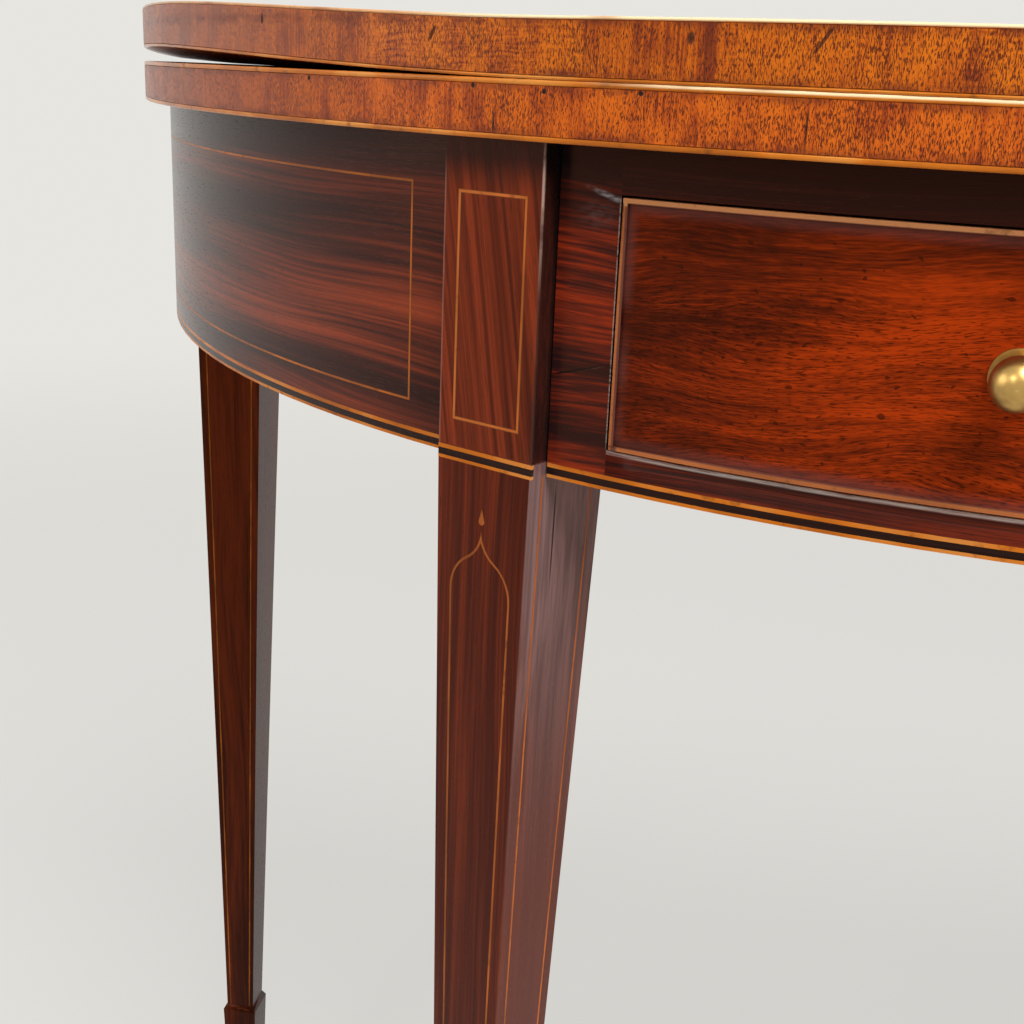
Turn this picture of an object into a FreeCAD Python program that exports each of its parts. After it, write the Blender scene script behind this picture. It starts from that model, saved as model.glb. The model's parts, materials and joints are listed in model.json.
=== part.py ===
import FreeCAD, Part
import math
import os

# A fold-over demilune table in millimetres. Everything is drawn about the centre of the plan circle,
# with the bow towards -Y and the floor at Z = 0. The last step moves each piece so that the origin is
# on the floor, under the middle of the table.

# Whole table
table_height = 737.0
plan_radius = 500.0
back_setback = 70.0
cut_overrun = 5.0

# Leaves
leaf_thickness = 17.5
leaf_overhang = 11.3
fold_gap = 0.15
edge_band_depth = 1.4
lower_arris_line = 1.8
upper_arris_line = 1.2
warp_azimuth = 60.0
warp_start = 415.0
warp_radius = 562.0

# Leaf hinges
hinge_end_inset = 165.0
hinge_length = 62.0
hinge_flap_height = 14.0
hinge_flap_thickness = 1.8
hinge_barrel_radius = 3.0
hinge_pin_radius = 1.5
hinge_knuckles = 5
hinge_running_gap = 0.05
hinge_barrel_gap = 0.25

# Frieze
frieze_height = 103.5
rail_thickness = 22.0
veneer_thickness = 1.5
band_upper_string = 1.4
band_ebony = 2.3
band_lower_string = 1.1
inlay_depth = 1.2
panel_top_margin = 15.4
panel_bottom_margin = 13.9
panel_side_margin = 21.4
panel_string = 1.0
tenon_length = 14.0
tenon_thickness = 9.0
tenon_shoulder = 15.0

# Front legs
leg_azimuth = 29.25
leg_size = 39.5
leg_proud = 6.6
ankle_height = 108.0
ankle_size = 18.5
foot_collar_size = 22.6
foot_collar_rise = 4.0
foot_base_size = 16.5
leg_string = 0.8
block_panel_width = 28.0
block_panel_top_margin = 15.9
block_panel_bottom_margin = 13.8
block_string = 1.3
leg_line_inset = 5.7

# Ogee arch and drop on the front legs, measured down from the underside of the frieze
drop_top = 14.1
drop_bottom = 19.6
drop_radius = 1.25
arch_apex = 21.2
arch_spring = 44.0
arch_lower_share = 0.54

# Rear legs, carried by the gates
rear_leg_size = 38.0
rear_leg_inset = 3.0
rear_leg_front_gap = 4.0
rear_ankle_size = 18.2
rear_line_inset = 4.5

# Back rail and gates
back_rail_thickness = 22.0
back_rail_place = 119.0
tail_count = 3
tail_lap = 6.0
tail_root_share = 0.5
tail_tip_share = 0.72
fly_rail_thickness = 20.0
gate_pin_x = 125.0
gate_pin_radius = 3.0
gate_running_gap = 0.06
gate_top_gap = 0.5
knuckle_fingers = 5
knuckle_gap = 0.4

# Drawer opening
stile_width = 20.1
leg_joint_gap = 0.8
opening_bottom_rail = 12.7
opening_top_rail = 13.7
drawer_rail_width = 55.0
runner_width = 26.0
runner_drop = 2.0
guide_thickness = 11.0
guide_height = 14.0
guide_front_setback = 48.0
stop_inset = 85.0
stop_width = 30.0
stop_height = 20.0

# Drawer
drawer_gap = 0.7
drawer_side_gap = 1.2
drawer_floor_gap = 0.3
drawer_front_thickness = 22.0
drawer_side_thickness = 9.0
drawer_back_thickness = 9.0
drawer_back_gap = 9.0
drawer_stop_gap = 0.3
drawer_bottom_thickness = 6.0
drawer_bottom_rise = 8.0
drawer_groove = 4.0
drawer_tail_lap = 2.0
cockbead_width = 1.5
cockbead_proud = 1.0
cockbead_depth = 8.0

# Drawer knobs
knob_azimuth = 10.6
knob_base_radius = 8.0
knob_base_height = 1.6
knob_neck_radius = 4.0
knob_head_radius = 7.5
knob_length = 18.0
knob_spindle_radius = 2.5
knob_nut_size = 12.0
knob_nut_thickness = 4.0

# Glue blocks under the lower leaf
glue_block_length = 42.0
glue_block_leg = 18.0
glue_block_azimuths = (44.0, 60.0)
glue_block_end_inset = 130.0

# Heights and radii that follow from the sizes above
leaf_joint_z = table_height - leaf_thickness
frieze_top_z = leaf_joint_z - leaf_thickness
frieze_bottom_z = frieze_top_z - frieze_height
frieze_radius = plan_radius - leaf_overhang
rail_inner_radius = frieze_radius - rail_thickness
leg_face_radius = frieze_radius + leg_proud
fold_line_y = -back_setback
leaf_back_y = fold_line_y - fold_gap
opening_low_z = frieze_bottom_z + opening_bottom_rail
opening_high_z = frieze_top_z - opening_top_rail
back_rail_rear_y = -back_rail_place
back_rail_front_y = back_rail_rear_y - back_rail_thickness
ebony_top = band_lower_string + band_ebony
base_band_height = ebony_top + band_upper_string
reach = plan_radius + cut_overrun
leaf_half_width = math.sqrt(plan_radius ** 2 - back_setback ** 2)
hinge_place_x = leaf_half_width - hinge_end_inset
leg_side_turn = math.asin(leg_size / 2 / frieze_radius)
opening_half_width = frieze_radius * math.sin(math.radians(leg_azimuth) - leg_side_turn) - stile_width
frieze_end_x = math.sqrt(frieze_radius ** 2 - back_rail_place ** 2)
rear_leg_outer_x = frieze_end_x - rear_leg_inset
stop_place_x = opening_half_width - stop_inset
glue_block_back_x = frieze_end_x - glue_block_end_inset
plan_shift = (plan_radius + back_setback - hinge_barrel_radius) / 2

V = FreeCAD.Vector
CENTRE = V(0, 0, 0)
UP = V(0, 0, 1)
ACROSS = V(1, 0, 0)


def write(node, shape):
    """Save one node with the table's origin under the middle of its plan."""
    placed = shape.copy()
    placed.translate(V(0, plan_shift, 0))
    placed.exportStep("parts/" + node + ".step")


def mirrored(shape):
    """The same piece on the other side of the table."""
    return shape.mirror(CENTRE, ACROSS)


def turned(shape, azimuth):
    """A piece drawn at the front of the plan, moved round the circle to the left."""
    moved = shape.copy()
    moved.rotate(CENTRE, UP, -azimuth)
    return moved


def block(x_low, x_high, y_low, y_high, z_low, z_high):
    return Part.makeBox(x_high - x_low, y_high - y_low, z_high - z_low, V(x_low, y_low, z_low))


def disc(radius, z_low, z_high):
    return Part.makeCylinder(radius, z_high - z_low, V(0, 0, z_low))


def ring(inner, outer, z_low, z_high):
    hole = disc(inner, z_low - cut_overrun, z_high + cut_overrun)
    return disc(outer, z_low, z_high).cut(hole)


def front_of(y, z_low, z_high):
    """All of the plan that lies in front of a line across the table."""
    return block(-reach, reach, -reach, y, z_low, z_high)


def polygon(points):
    return Part.Face(Part.makePolygon(points + [points[0]]))


def rectangle(x_low, x_high, y_low, y_high, z):
    corners = [V(x_low, y_low, z), V(x_high, y_low, z), V(x_high, y_high, z), V(x_low, y_high, z)]
    return Part.makePolygon(corners + [corners[0]])


def upright_bar(x, y, radius, z_low, z_high):
    return Part.makeCylinder(radius, z_high - z_low, V(x, y, z_low))


def cross_bar(x_low, x_high, y, z, radius):
    return Part.makeCylinder(radius, x_high - x_low, V(x_low, y, z), ACROSS)


def joined(shapes):
    """One solid from pieces that meet."""
    return shapes[0].multiFuse(shapes[1:]).removeSplitter()


def group(shapes):
    """Separate solids that share one node."""
    return Part.makeCompound([solid for shape in shapes for solid in shape.Solids])


# Leaves


def leaf_plan(outer, z_low, z_high):
    return disc(outer, z_low, z_high).common(front_of(leaf_back_y, z_low, z_high))


def leaf_rim(z_low, z_high):
    band = ring(plan_radius - edge_band_depth, plan_radius, z_low, z_high)
    return band.common(front_of(leaf_back_y, z_low, z_high))


def warped_layer(low, high):
    """A sheet between two heights in the upper leaf, flat except where it lifts at the left end."""
    centre_z = leaf_joint_z + warp_radius
    sweep = (reach - warp_start) / warp_radius

    def arc(level):
        radius = warp_radius - level
        points = []
        for share in (0.0, 0.5, 1.0):
            turn = sweep * share
            points.append(V(-warp_start - radius * math.sin(turn), 0, centre_z - radius * math.cos(turn)))
        return points

    lower = arc(low)
    upper = arc(high)
    edges = [
        Part.makeLine(V(reach, 0, leaf_joint_z + low), lower[0]),
        Part.Arc(*lower).toShape(),
        Part.makeLine(lower[2], upper[2]),
        Part.Arc(*reversed(upper)).toShape(),
        Part.makeLine(upper[0], V(reach, 0, leaf_joint_z + high)),
        Part.makeLine(V(reach, 0, leaf_joint_z + high), V(reach, 0, leaf_joint_z + low)),
    ]
    sheet = Part.Face(Part.Wire(edges)).extrude(V(0, 2 * reach, 0))
    sheet.translate(V(0, -reach, 0))
    sheet.rotate(CENTRE, UP, 90 - warp_azimuth)
    return sheet


def hinge_recess(x, leaf_side):
    """Room in a leaf's back edge for one hinge: the flap's pocket and the barrel's hollow."""
    x_low = x - hinge_length / 2
    x_high = x + hinge_length / 2
    flap_z = sorted((leaf_joint_z, leaf_joint_z + leaf_side * hinge_flap_height))
    pocket = block(x_low, x_high, leaf_back_y - hinge_flap_thickness, fold_line_y + cut_overrun, *flap_z)
    hollow = cross_bar(x_low, x_high, fold_line_y, leaf_joint_z, hinge_barrel_radius + hinge_barrel_gap)
    return pocket.fuse(hollow)


def make_lower_leaf():
    core = leaf_plan(plan_radius - edge_band_depth, frieze_top_z, leaf_joint_z)
    for x in (-hinge_place_x, hinge_place_x):
        core = core.cut(hinge_recess(x, -1))
    write("lower_leaf", core)
    line = lower_arris_line
    write("lower_leaf_edge_band", leaf_rim(frieze_top_z + line, leaf_joint_z - line))
    low_line = leaf_rim(frieze_top_z, frieze_top_z + line)
    high_line = leaf_rim(leaf_joint_z - line, leaf_joint_z)
    write("lower_leaf_edge_lines", group([low_line, high_line]))


def make_upper_leaf():
    line = upper_arris_line
    ceiling = table_height + leaf_thickness
    whole = warped_layer(0, leaf_thickness)
    core = whole.common(leaf_plan(plan_radius - edge_band_depth, leaf_joint_z - cut_overrun, ceiling))
    for x in (-hinge_place_x, hinge_place_x):
        core = core.cut(hinge_recess(x, 1))
    write("upper_leaf", core)
    rim = leaf_rim(leaf_joint_z - cut_overrun, ceiling)
    write("upper_leaf_edge_band", warped_layer(line, leaf_thickness - line).common(rim))
    low_line = warped_layer(0, line).common(rim)
    high_line = warped_layer(leaf_thickness - line, leaf_thickness).common(rim)
    write("upper_leaf_edge_lines", group([low_line, high_line]))


def hinge_leaf(x, leaf_side, own_first):
    """One flap of a butt hinge with its share of the knuckles, bored for the pin."""
    x_low = x - hinge_length / 2
    pitch = hinge_length / hinge_knuckles
    flap_z = sorted((leaf_joint_z + leaf_side * fold_gap, leaf_joint_z + leaf_side * hinge_flap_height))
    flap = block(x_low, x_low + hinge_length, leaf_back_y - hinge_flap_thickness, leaf_back_y, *flap_z)
    for knuckle in range(hinge_knuckles):
        low = x_low + knuckle * pitch
        if knuckle % 2 == own_first:
            low_gap = hinge_barrel_gap / 2 if knuckle > 0 else 0
            high_gap = hinge_barrel_gap / 2 if knuckle < hinge_knuckles - 1 else 0
            barrel = cross_bar(low + low_gap, low + pitch - high_gap, fold_line_y, leaf_joint_z,
                               hinge_barrel_radius)
            flap = flap.fuse(barrel)
        else:
            room = cross_bar(low - hinge_barrel_gap / 2, low + pitch + hinge_barrel_gap / 2, fold_line_y,
                             leaf_joint_z, hinge_barrel_radius + hinge_barrel_gap)
            flap = flap.cut(room)
    bore = hinge_pin_radius + own_first * hinge_running_gap
    hole = cross_bar(x_low - cut_overrun, x_low + hinge_length + cut_overrun, fold_line_y, leaf_joint_z, bore)
    return flap.cut(hole).removeSplitter()


def make_leaf_hinges():
    places = (-hinge_place_x, hinge_place_x)
    write("leaf_hinge_lower_flaps", group([hinge_leaf(x, -1, 0) for x in places]))
    write("leaf_hinge_upper_flaps", group([hinge_leaf(x, 1, 1) for x in places]))
    half = hinge_length / 2
    pins = [cross_bar(x - half, x + half, fold_line_y, leaf_joint_z, hinge_pin_radius) for x in places]
    write("leaf_hinge_pins", group(pins))


# Front legs, drawn at the front of the plan and turned to their place


def leg_column(rows):
    """A square leg from the widths, front and back faces at each height, ruled between them."""
    wires = [rectangle(x_low, x_high, y_low, y_high, z) for x_low, x_high, y_low, y_high, z in rows]
    return Part.makeLoft(wires, True, True)


def spade_rows(x, y, ankle):
    """The foot: a collar that flares out below the ankle and a taper to the floor."""
    collar = ankle + foot_collar_size - ankle_size
    base = ankle + foot_base_size - ankle_size
    rows = []
    for size, z in ((collar, ankle_height - foot_collar_rise), (base, 0)):
        rows.append((x - size / 2, x + size / 2, y - size / 2, y + size / 2, z))
    return rows


def front_leg_blank():
    face = -leg_face_radius
    rows = [(-leg_size / 2, leg_size / 2, face, face + leg_size, z) for z in (frieze_top_z, frieze_bottom_z)]
    rows.append((-ankle_size / 2, ankle_size / 2, face, face + ankle_size, ankle_height))
    return leg_column(rows + spade_rows(0, face + ankle_size / 2, ankle_size))


def strip(points, depth):
    """A string let into a flat face: its outline on the face, sunk by a depth vector."""
    return polygon(points).extrude(depth)


def frame_strip(x_low, x_high, z_low, z_high, y, width):
    """A rectangular line let into a front face."""
    outer = block(x_low, x_high, y, y + inlay_depth, z_low, z_high)
    inner = block(x_low + width, x_high - width, y - cut_overrun, y + inlay_depth + cut_overrun,
                  z_low + width, z_high - width)
    return outer.cut(inner)


def ogee_face(shift):
    """The area under the ogee arch on the leg's front face, drawn in by a shift of its outline."""
    y = -leg_face_radius
    spring_z = frieze_bottom_z - arch_spring
    apex_z = frieze_bottom_z - arch_apex
    fall_share = arch_spring / (frieze_bottom_z - ankle_height)
    spring_x = leg_size / 2 - leg_line_inset - (leg_size - ankle_size) / 2 * fall_share
    ankle_x = ankle_size / 2 - leg_line_inset * ankle_size / leg_size - shift
    rise = apex_z - spring_z
    radii = (spring_x ** 2 + rise ** 2) / (2 * spring_x)
    low_radius = radii * arch_lower_share
    high_radius = radii - low_radius
    low_centre = V(spring_x - low_radius, y, spring_z)
    high_centre = V(high_radius, y, apex_z)
    between = (high_centre - low_centre).normalize()
    low_radius -= shift
    high_radius += shift
    apex = V(0, y, apex_z - math.sqrt(high_radius ** 2 - high_centre.x ** 2))
    spring = low_centre + ACROSS * low_radius
    turn = low_centre + between * low_radius
    shoulder = low_centre + (ACROSS + between).normalize() * low_radius
    to_apex = (apex - high_centre).normalize()
    neck = high_centre + (to_apex - between).normalize() * high_radius
    foot = V(ankle_x, y, ankle_height)
    right = [Part.makeLine(foot, spring), Part.Arc(spring, shoulder, turn).toShape(),
             Part.Arc(turn, neck, apex).toShape()]
    left = [mirrored(edge) for edge in right]
    base = Part.makeLine(foot, V(-ankle_x, y, ankle_height))
    return Part.Face(Part.Wire(Part.__sortEdges__(right + left + [base])))


def drop_inlay():
    """The drop over the arch: a round end and straight sides up to a point."""
    y = -leg_face_radius
    centre_z = frieze_bottom_z - drop_bottom + drop_radius
    top = V(0, y, frieze_bottom_z - drop_top)
    left = V(-drop_radius, y, centre_z)
    right = V(drop_radius, y, centre_z)
    low = V(0, y, frieze_bottom_z - drop_bottom)
    edges = [Part.makeLine(right, top), Part.makeLine(top, left), Part.Arc(left, low, right).toShape()]
    return Part.Face(Part.Wire(edges)).extrude(V(0, inlay_depth, 0))


def front_leg_lines():
    face = -leg_face_radius
    half_panel = block_panel_width / 2
    panel = frame_strip(-half_panel, half_panel, frieze_bottom_z + block_panel_bottom_margin,
                        frieze_top_z - block_panel_top_margin, face, block_string)
    outer = ogee_face(0).extrude(V(0, inlay_depth, 0))
    inner = ogee_face(leg_string).extrude(V(0, inlay_depth, 0))
    lines = [panel, outer.cut(inner), drop_inlay()]
    for side in (-1, 1):
        top_x = side * leg_size / 2
        low_x = side * ankle_size / 2
        sunk = V(-side * inlay_depth, 0, 0)
        low_inset = leg_line_inset * ankle_size / leg_size
        for top_y, low_y in ((face + leg_line_inset, face + low_inset),
                             (face + leg_size - leg_line_inset - leg_string,
                              face + ankle_size - low_inset - leg_string)):
            points = [V(top_x, top_y, frieze_bottom_z), V(top_x, top_y + leg_string, frieze_bottom_z),
                      V(low_x, low_y + leg_string, ankle_height), V(low_x, low_y, ankle_height)]
            lines.append(strip(points, sunk))
    return lines


def leg_band(low, high):
    face = -leg_face_radius
    return block(-leg_size / 2, leg_size / 2, face, face + inlay_depth, low, high)


# Frieze


def beside_leg(z_low, z_high):
    """The plan behind the left leg's rear side face."""
    return turned(block(-reach, -leg_size / 2, -reach, reach, z_low, z_high), leg_azimuth)


def before_legs(z_low, z_high):
    """The plan between the two front legs' facing sides, short of them by the open joint."""
    left = turned(block(leg_size / 2 + leg_joint_gap, reach, -reach, 0, z_low, z_high), leg_azimuth)
    return left.common(mirrored(left))


def left_run(inner, outer, z_low, z_high):
    """A curved strip of the frieze from the left leg back to the end of the back rail."""
    run = ring(inner, outer, z_low, z_high).common(front_of(back_rail_rear_y, z_low, z_high))
    run = run.common(block(-reach, 0, -reach, 0, z_low, z_high))
    return run.common(beside_leg(z_low, z_high))


def base_bands():
    """Heights of the two strings and of the ebony line between them, from the frieze's lower edge."""
    low = frieze_bottom_z
    strings = [(low, low + band_lower_string), (low + ebony_top, low + base_band_height)]
    ebony = [(low + band_lower_string, low + ebony_top)]
    return strings, ebony


def front_run(inner, outer, z_low, z_high):
    run = ring(inner, outer, z_low, z_high).common(block(-reach, reach, -reach, 0, z_low, z_high))
    return run.common(before_legs(z_low, z_high))


def band_pieces(levels):
    pieces = []
    for low, high in levels:
        run = left_run(frieze_radius - inlay_depth, frieze_radius, low, high)
        on_leg = turned(leg_band(low, high), leg_azimuth)
        pieces += [run, mirrored(run), on_leg, mirrored(on_leg)]
        pieces.append(front_run(frieze_radius - inlay_depth, frieze_radius, low, high))
    return pieces


def panel_line():
    """The rectangular line of the left frieze panel, bent to the bow."""
    start = leg_azimuth + math.degrees((leg_size / 2 + panel_side_margin) / frieze_radius)
    end_azimuth = math.degrees(math.acos(back_rail_place / frieze_radius))
    end = end_azimuth - math.degrees(panel_side_margin / frieze_radius)
    low = frieze_bottom_z + panel_bottom_margin
    high = frieze_top_z - panel_top_margin
    string_turn = math.degrees(panel_string / frieze_radius)
    outer = sector(start, end, low, high)
    inner = sector(start + string_turn, end - string_turn, low + panel_string, high - panel_string)
    return outer.cut(inner)


def sector(start, end, low, high):
    """A thin curved plate in the frieze's face between two azimuths to the left."""
    radii = (frieze_radius - inlay_depth, frieze_radius)
    middle = (start + end) / 2

    def place(radius, azimuth):
        turn = math.radians(azimuth)
        return V(-radius * math.sin(turn), -radius * math.cos(turn), low)

    inner, outer = [[place(radius, azimuth) for azimuth in (start, middle, end)] for radius in radii]
    edges = [
        Part.Arc(*outer).toShape(),
        Part.makeLine(outer[2], inner[2]),
        Part.Arc(*reversed(inner)).toShape(),
        Part.makeLine(inner[0], outer[0]),
    ]
    return Part.Face(Part.Wire(edges)).extrude(V(0, 0, high - low))


def rail_tenon(x_low, x_high, outer, inner, z_low, z_high):
    """A tenon into the left leg, in the middle of a rail that lies between two radii."""
    middle = -(outer + inner) / 2
    half = tenon_thickness / 2
    return turned(block(x_low, x_high, middle - half, middle + half, z_low, z_high), leg_azimuth)


def tail_prisms(root, tip, sweep, z_low, z_high):
    """Dovetails from one plan point to another, wider at the tip, as thick as the sweep."""
    pitch = (z_high - z_low) / tail_count
    tails = []
    for number in range(tail_count):
        middle = UP * (z_low + pitch * (number + 1) - pitch / 2)
        root_half = UP * (pitch * tail_root_share / 2)
        tip_half = UP * (pitch * tail_tip_share / 2)
        points = [root + middle - root_half, root + middle + root_half,
                  tip + middle + tip_half, tip + middle - tip_half]
        tails.append(polygon(points).extrude(sweep))
    return tails


def make_back_rail():
    """The straight rail behind the drawer, with lapped dovetails at both ends."""
    span = front_of(back_rail_rear_y, frieze_bottom_z, frieze_top_z)
    span = span.common(block(-reach, reach, back_rail_front_y, 0, frieze_bottom_z, frieze_top_z))
    rail = span.common(disc(rail_inner_radius, frieze_bottom_z, frieze_top_z))
    root = V(-math.sqrt(rail_inner_radius ** 2 - back_rail_front_y ** 2), back_rail_front_y, 0)
    tip = V(-math.sqrt(frieze_radius ** 2 - back_rail_front_y ** 2), back_rail_front_y, 0)
    tails = tail_prisms(root, tip, V(0, back_rail_thickness, 0), frieze_bottom_z, frieze_top_z)
    limit = disc(frieze_radius - tail_lap, frieze_bottom_z, frieze_top_z)
    for tail in tails:
        cut_tail = tail.common(limit)
        rail = rail.fuse(cut_tail).fuse(mirrored(cut_tail))
    return rail.removeSplitter()


def make_frieze():
    back_rail = make_back_rail()
    write("back_rail", back_rail)

    core = left_run(rail_inner_radius, frieze_radius - veneer_thickness, frieze_bottom_z, frieze_top_z)
    core = core.cut(back_rail)
    leg_side = leg_size / 2
    side_tenon = rail_tenon(-leg_side, tenon_length - leg_side, frieze_radius, rail_inner_radius,
                            frieze_bottom_z + tenon_shoulder, frieze_top_z - tenon_shoulder)
    core = core.fuse(side_tenon).removeSplitter()
    write("left_frieze_rail", core)
    write("right_frieze_rail", mirrored(core))

    strings, ebony = base_bands()
    string_pieces = band_pieces(strings)
    ebony_pieces = band_pieces(ebony)
    inlays = string_pieces + ebony_pieces
    write("base_band_boxwood", group(string_pieces))
    write("base_band_ebony", group(ebony_pieces))

    line = panel_line()
    write("left_panel_line", line)
    write("right_panel_line", mirrored(line))
    veneer = left_run(frieze_radius - veneer_thickness, frieze_radius, frieze_bottom_z, frieze_top_z)
    for inlay in inlays + [line]:
        veneer = veneer.cut(inlay)
    write("left_frieze_veneer", veneer)
    write("right_frieze_veneer", mirrored(veneer))

    stile = front_run(rail_inner_radius, frieze_radius, frieze_bottom_z, frieze_top_z)
    stile = stile.common(block(-reach, -opening_half_width, -reach, 0, frieze_bottom_z, frieze_top_z))
    rails = []
    for node, low, high in (("drawer_bottom_rail", frieze_bottom_z, opening_low_z),
                            ("drawer_top_rail", opening_high_z, frieze_top_z)):
        rail = front_run(frieze_radius - drawer_rail_width, frieze_radius, low, high)
        rail = rail.cut(stile).cut(mirrored(stile))
        tenon = rail_tenon(leg_side - tenon_length, leg_side + leg_joint_gap, rail_inner_radius,
                           leg_face_radius - leg_size, low, high)
        rail = joined([rail, tenon, mirrored(tenon)])
        for inlay in inlays:
            rail = rail.cut(inlay)
        rails.append(rail)
        write(node, rail)
    for inlay in inlays:
        stile = stile.cut(inlay)
    write("left_drawer_stile", stile)
    write("right_drawer_stile", mirrored(stile))

    lines = front_leg_lines()
    leg = turned(front_leg_blank(), leg_azimuth)
    lines = [turned(line, leg_azimuth) for line in lines]
    for cutter in lines + inlays + rails + [core]:
        leg = leg.cut(cutter)
    write("left_front_leg", leg)
    write("right_front_leg", mirrored(leg))
    write("left_front_leg_lines", group(lines))
    write("right_front_leg_lines", group([mirrored(line) for line in lines]))


# Gates


def finger_levels():
    """Lower and upper height of each finger of the wooden knuckle joints."""
    pitch = (frieze_top_z - gate_top_gap - frieze_bottom_z) / knuckle_fingers
    return [(frieze_bottom_z + pitch * number, frieze_bottom_z + pitch * (number + 1))
            for number in range(knuckle_fingers)]


def gate_axis_y():
    return back_rail_rear_y + rear_leg_front_gap + fly_rail_thickness / 2


def knuckled(rail, pin_x, own_first, bore):
    """Cut one end of a rail into the fingers of a knuckle joint about an upright pin."""
    y = gate_axis_y()
    radius = fly_rail_thickness / 2
    levels = finger_levels()
    for number, (low, high) in enumerate(levels):
        if number % 2 == own_first:
            low_gap = knuckle_gap / 2 if number > 0 else 0
            high_gap = knuckle_gap / 2 if number < knuckle_fingers - 1 else 0
            rail = rail.fuse(upright_bar(pin_x, y, radius, low + low_gap, high - high_gap))
        else:
            low_room = low - (knuckle_gap / 2 if number > 0 else cut_overrun)
            high_room = high + (knuckle_gap / 2 if number < knuckle_fingers - 1 else cut_overrun)
            rail = rail.cut(upright_bar(pin_x, y, radius + knuckle_gap, low_room, high_room))
    hole = upright_bar(pin_x, y, bore, frieze_bottom_z - cut_overrun, frieze_top_z + cut_overrun)
    return rail.cut(hole)


def bevelled_end(pin_x, toward):
    """Plan points of a rail's end, bevelled both ways from the pin so that a gate can swing square."""
    y = gate_axis_y()
    half = fly_rail_thickness / 2
    tip = pin_x + toward * knuckle_gap
    return [(tip + toward * half, y - half), (tip, y), (tip + toward * half, y + half)]


def rail_prism(plan, z_low, z_high):
    return polygon([V(x, y, z_low) for x, y in plan]).extrude(V(0, 0, z_high - z_low))


def rear_leg_blank():
    outer = -rear_leg_outer_x
    back = back_rail_rear_y + rear_leg_front_gap + rear_leg_size
    top_z = frieze_top_z - gate_top_gap
    rows = [(outer, outer + rear_leg_size, back - rear_leg_size, back, z) for z in (top_z, frieze_bottom_z)]
    rows.append((outer, outer + rear_ankle_size, back - rear_ankle_size, back, ankle_height))
    half = rear_ankle_size / 2
    return leg_column(rows + spade_rows(outer + half, back - half, rear_ankle_size))


def rear_leg_lines():
    """Two lines on the tapered front face and two on the upright outer face."""
    outer = -rear_leg_outer_x
    back = back_rail_rear_y + rear_leg_front_gap + rear_leg_size
    inset = rear_line_inset
    low_inset = rear_line_inset * rear_ankle_size / rear_leg_size
    lines = []
    for top, low in ((inset, low_inset),
                     (rear_leg_size - inset - leg_string, rear_ankle_size - low_inset - leg_string)):
        top_y = back - rear_leg_size
        low_y = back - rear_ankle_size
        front = [V(outer + top, top_y, frieze_bottom_z), V(outer + top + leg_string, top_y, frieze_bottom_z),
                 V(outer + low + leg_string, low_y, ankle_height), V(outer + low, low_y, ankle_height)]
        lines.append(strip(front, V(0, inlay_depth, 0)))
        side = [V(outer, back - top, frieze_bottom_z), V(outer, back - top - leg_string, frieze_bottom_z),
                V(outer, back - low - leg_string, ankle_height), V(outer, back - low, ankle_height)]
        lines.append(strip(side, V(inlay_depth, 0, 0)))
    return lines


def make_gates():
    half = fly_rail_thickness / 2
    y = gate_axis_y()
    top_z = frieze_top_z - gate_top_gap

    fixed = rail_prism(bevelled_end(-gate_pin_x, 1) + list(reversed(bevelled_end(gate_pin_x, -1))),
                       frieze_bottom_z, frieze_top_z)
    pad_x = gate_pin_x - fly_rail_thickness
    pad = block(-pad_x, pad_x, back_rail_rear_y, y, frieze_bottom_z, frieze_top_z)
    fixed = fixed.fuse(pad)
    for pin_x in (-gate_pin_x, gate_pin_x):
        fixed = knuckled(fixed, pin_x, 0, gate_pin_radius)
    write("gate_hinge_rail", fixed.removeSplitter())
    pins = [upright_bar(x, y, gate_pin_radius, frieze_bottom_z, top_z) for x in (-gate_pin_x, gate_pin_x)]
    write("gate_pins", group(pins))

    leg_side = -rear_leg_outer_x + rear_leg_size
    end = bevelled_end(-gate_pin_x, -1)
    plan = end + [(leg_side, y + half), (leg_side, y - half)]
    fly = rail_prism(plan, frieze_bottom_z, top_z)
    fly = knuckled(fly, -gate_pin_x, 1, gate_pin_radius + gate_running_gap)
    tenon = block(leg_side - tenon_length, leg_side, y - tenon_thickness / 2, y + tenon_thickness / 2,
                  frieze_bottom_z + tenon_shoulder, top_z - tenon_shoulder)
    fly = fly.fuse(tenon).removeSplitter()
    write("left_fly_rail", fly)
    write("right_fly_rail", mirrored(fly))

    lines = rear_leg_lines()
    leg = rear_leg_blank().cut(fly)
    for line in lines:
        leg = leg.cut(line)
    write("left_rear_leg", leg)
    write("right_rear_leg", mirrored(leg))
    write("left_rear_leg_lines", group(lines))
    write("right_rear_leg_lines", group([mirrored(line) for line in lines]))


# What carries the drawer


def make_drawer_ways():
    inner = frieze_radius - drawer_rail_width
    outer_x = -opening_half_width
    for name, low, high in (("runner", frieze_bottom_z + runner_drop, opening_low_z),
                            ("kicker", opening_high_z, frieze_top_z)):
        bar = block(outer_x, outer_x + runner_width, -reach, back_rail_front_y, low, high)
        bar = bar.common(disc(inner, low, high))
        write("left_drawer_" + name, bar)
        write("right_drawer_" + name, mirrored(bar))

    guide_front = -inner + guide_front_setback
    guide = block(outer_x - guide_thickness, outer_x, guide_front, back_rail_front_y,
                  opening_low_z - guide_height / 2, opening_low_z + guide_height / 2)
    write("left_drawer_guide", guide)
    write("right_drawer_guide", mirrored(guide))

    stop_front = back_rail_front_y - drawer_back_gap + drawer_stop_gap
    half = stop_width / 2
    stop = block(-stop_place_x - half, -stop_place_x + half, stop_front, back_rail_front_y,
                 opening_low_z, opening_low_z + stop_height)
    write("drawer_stops", group([stop, mirrored(stop)]))


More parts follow.
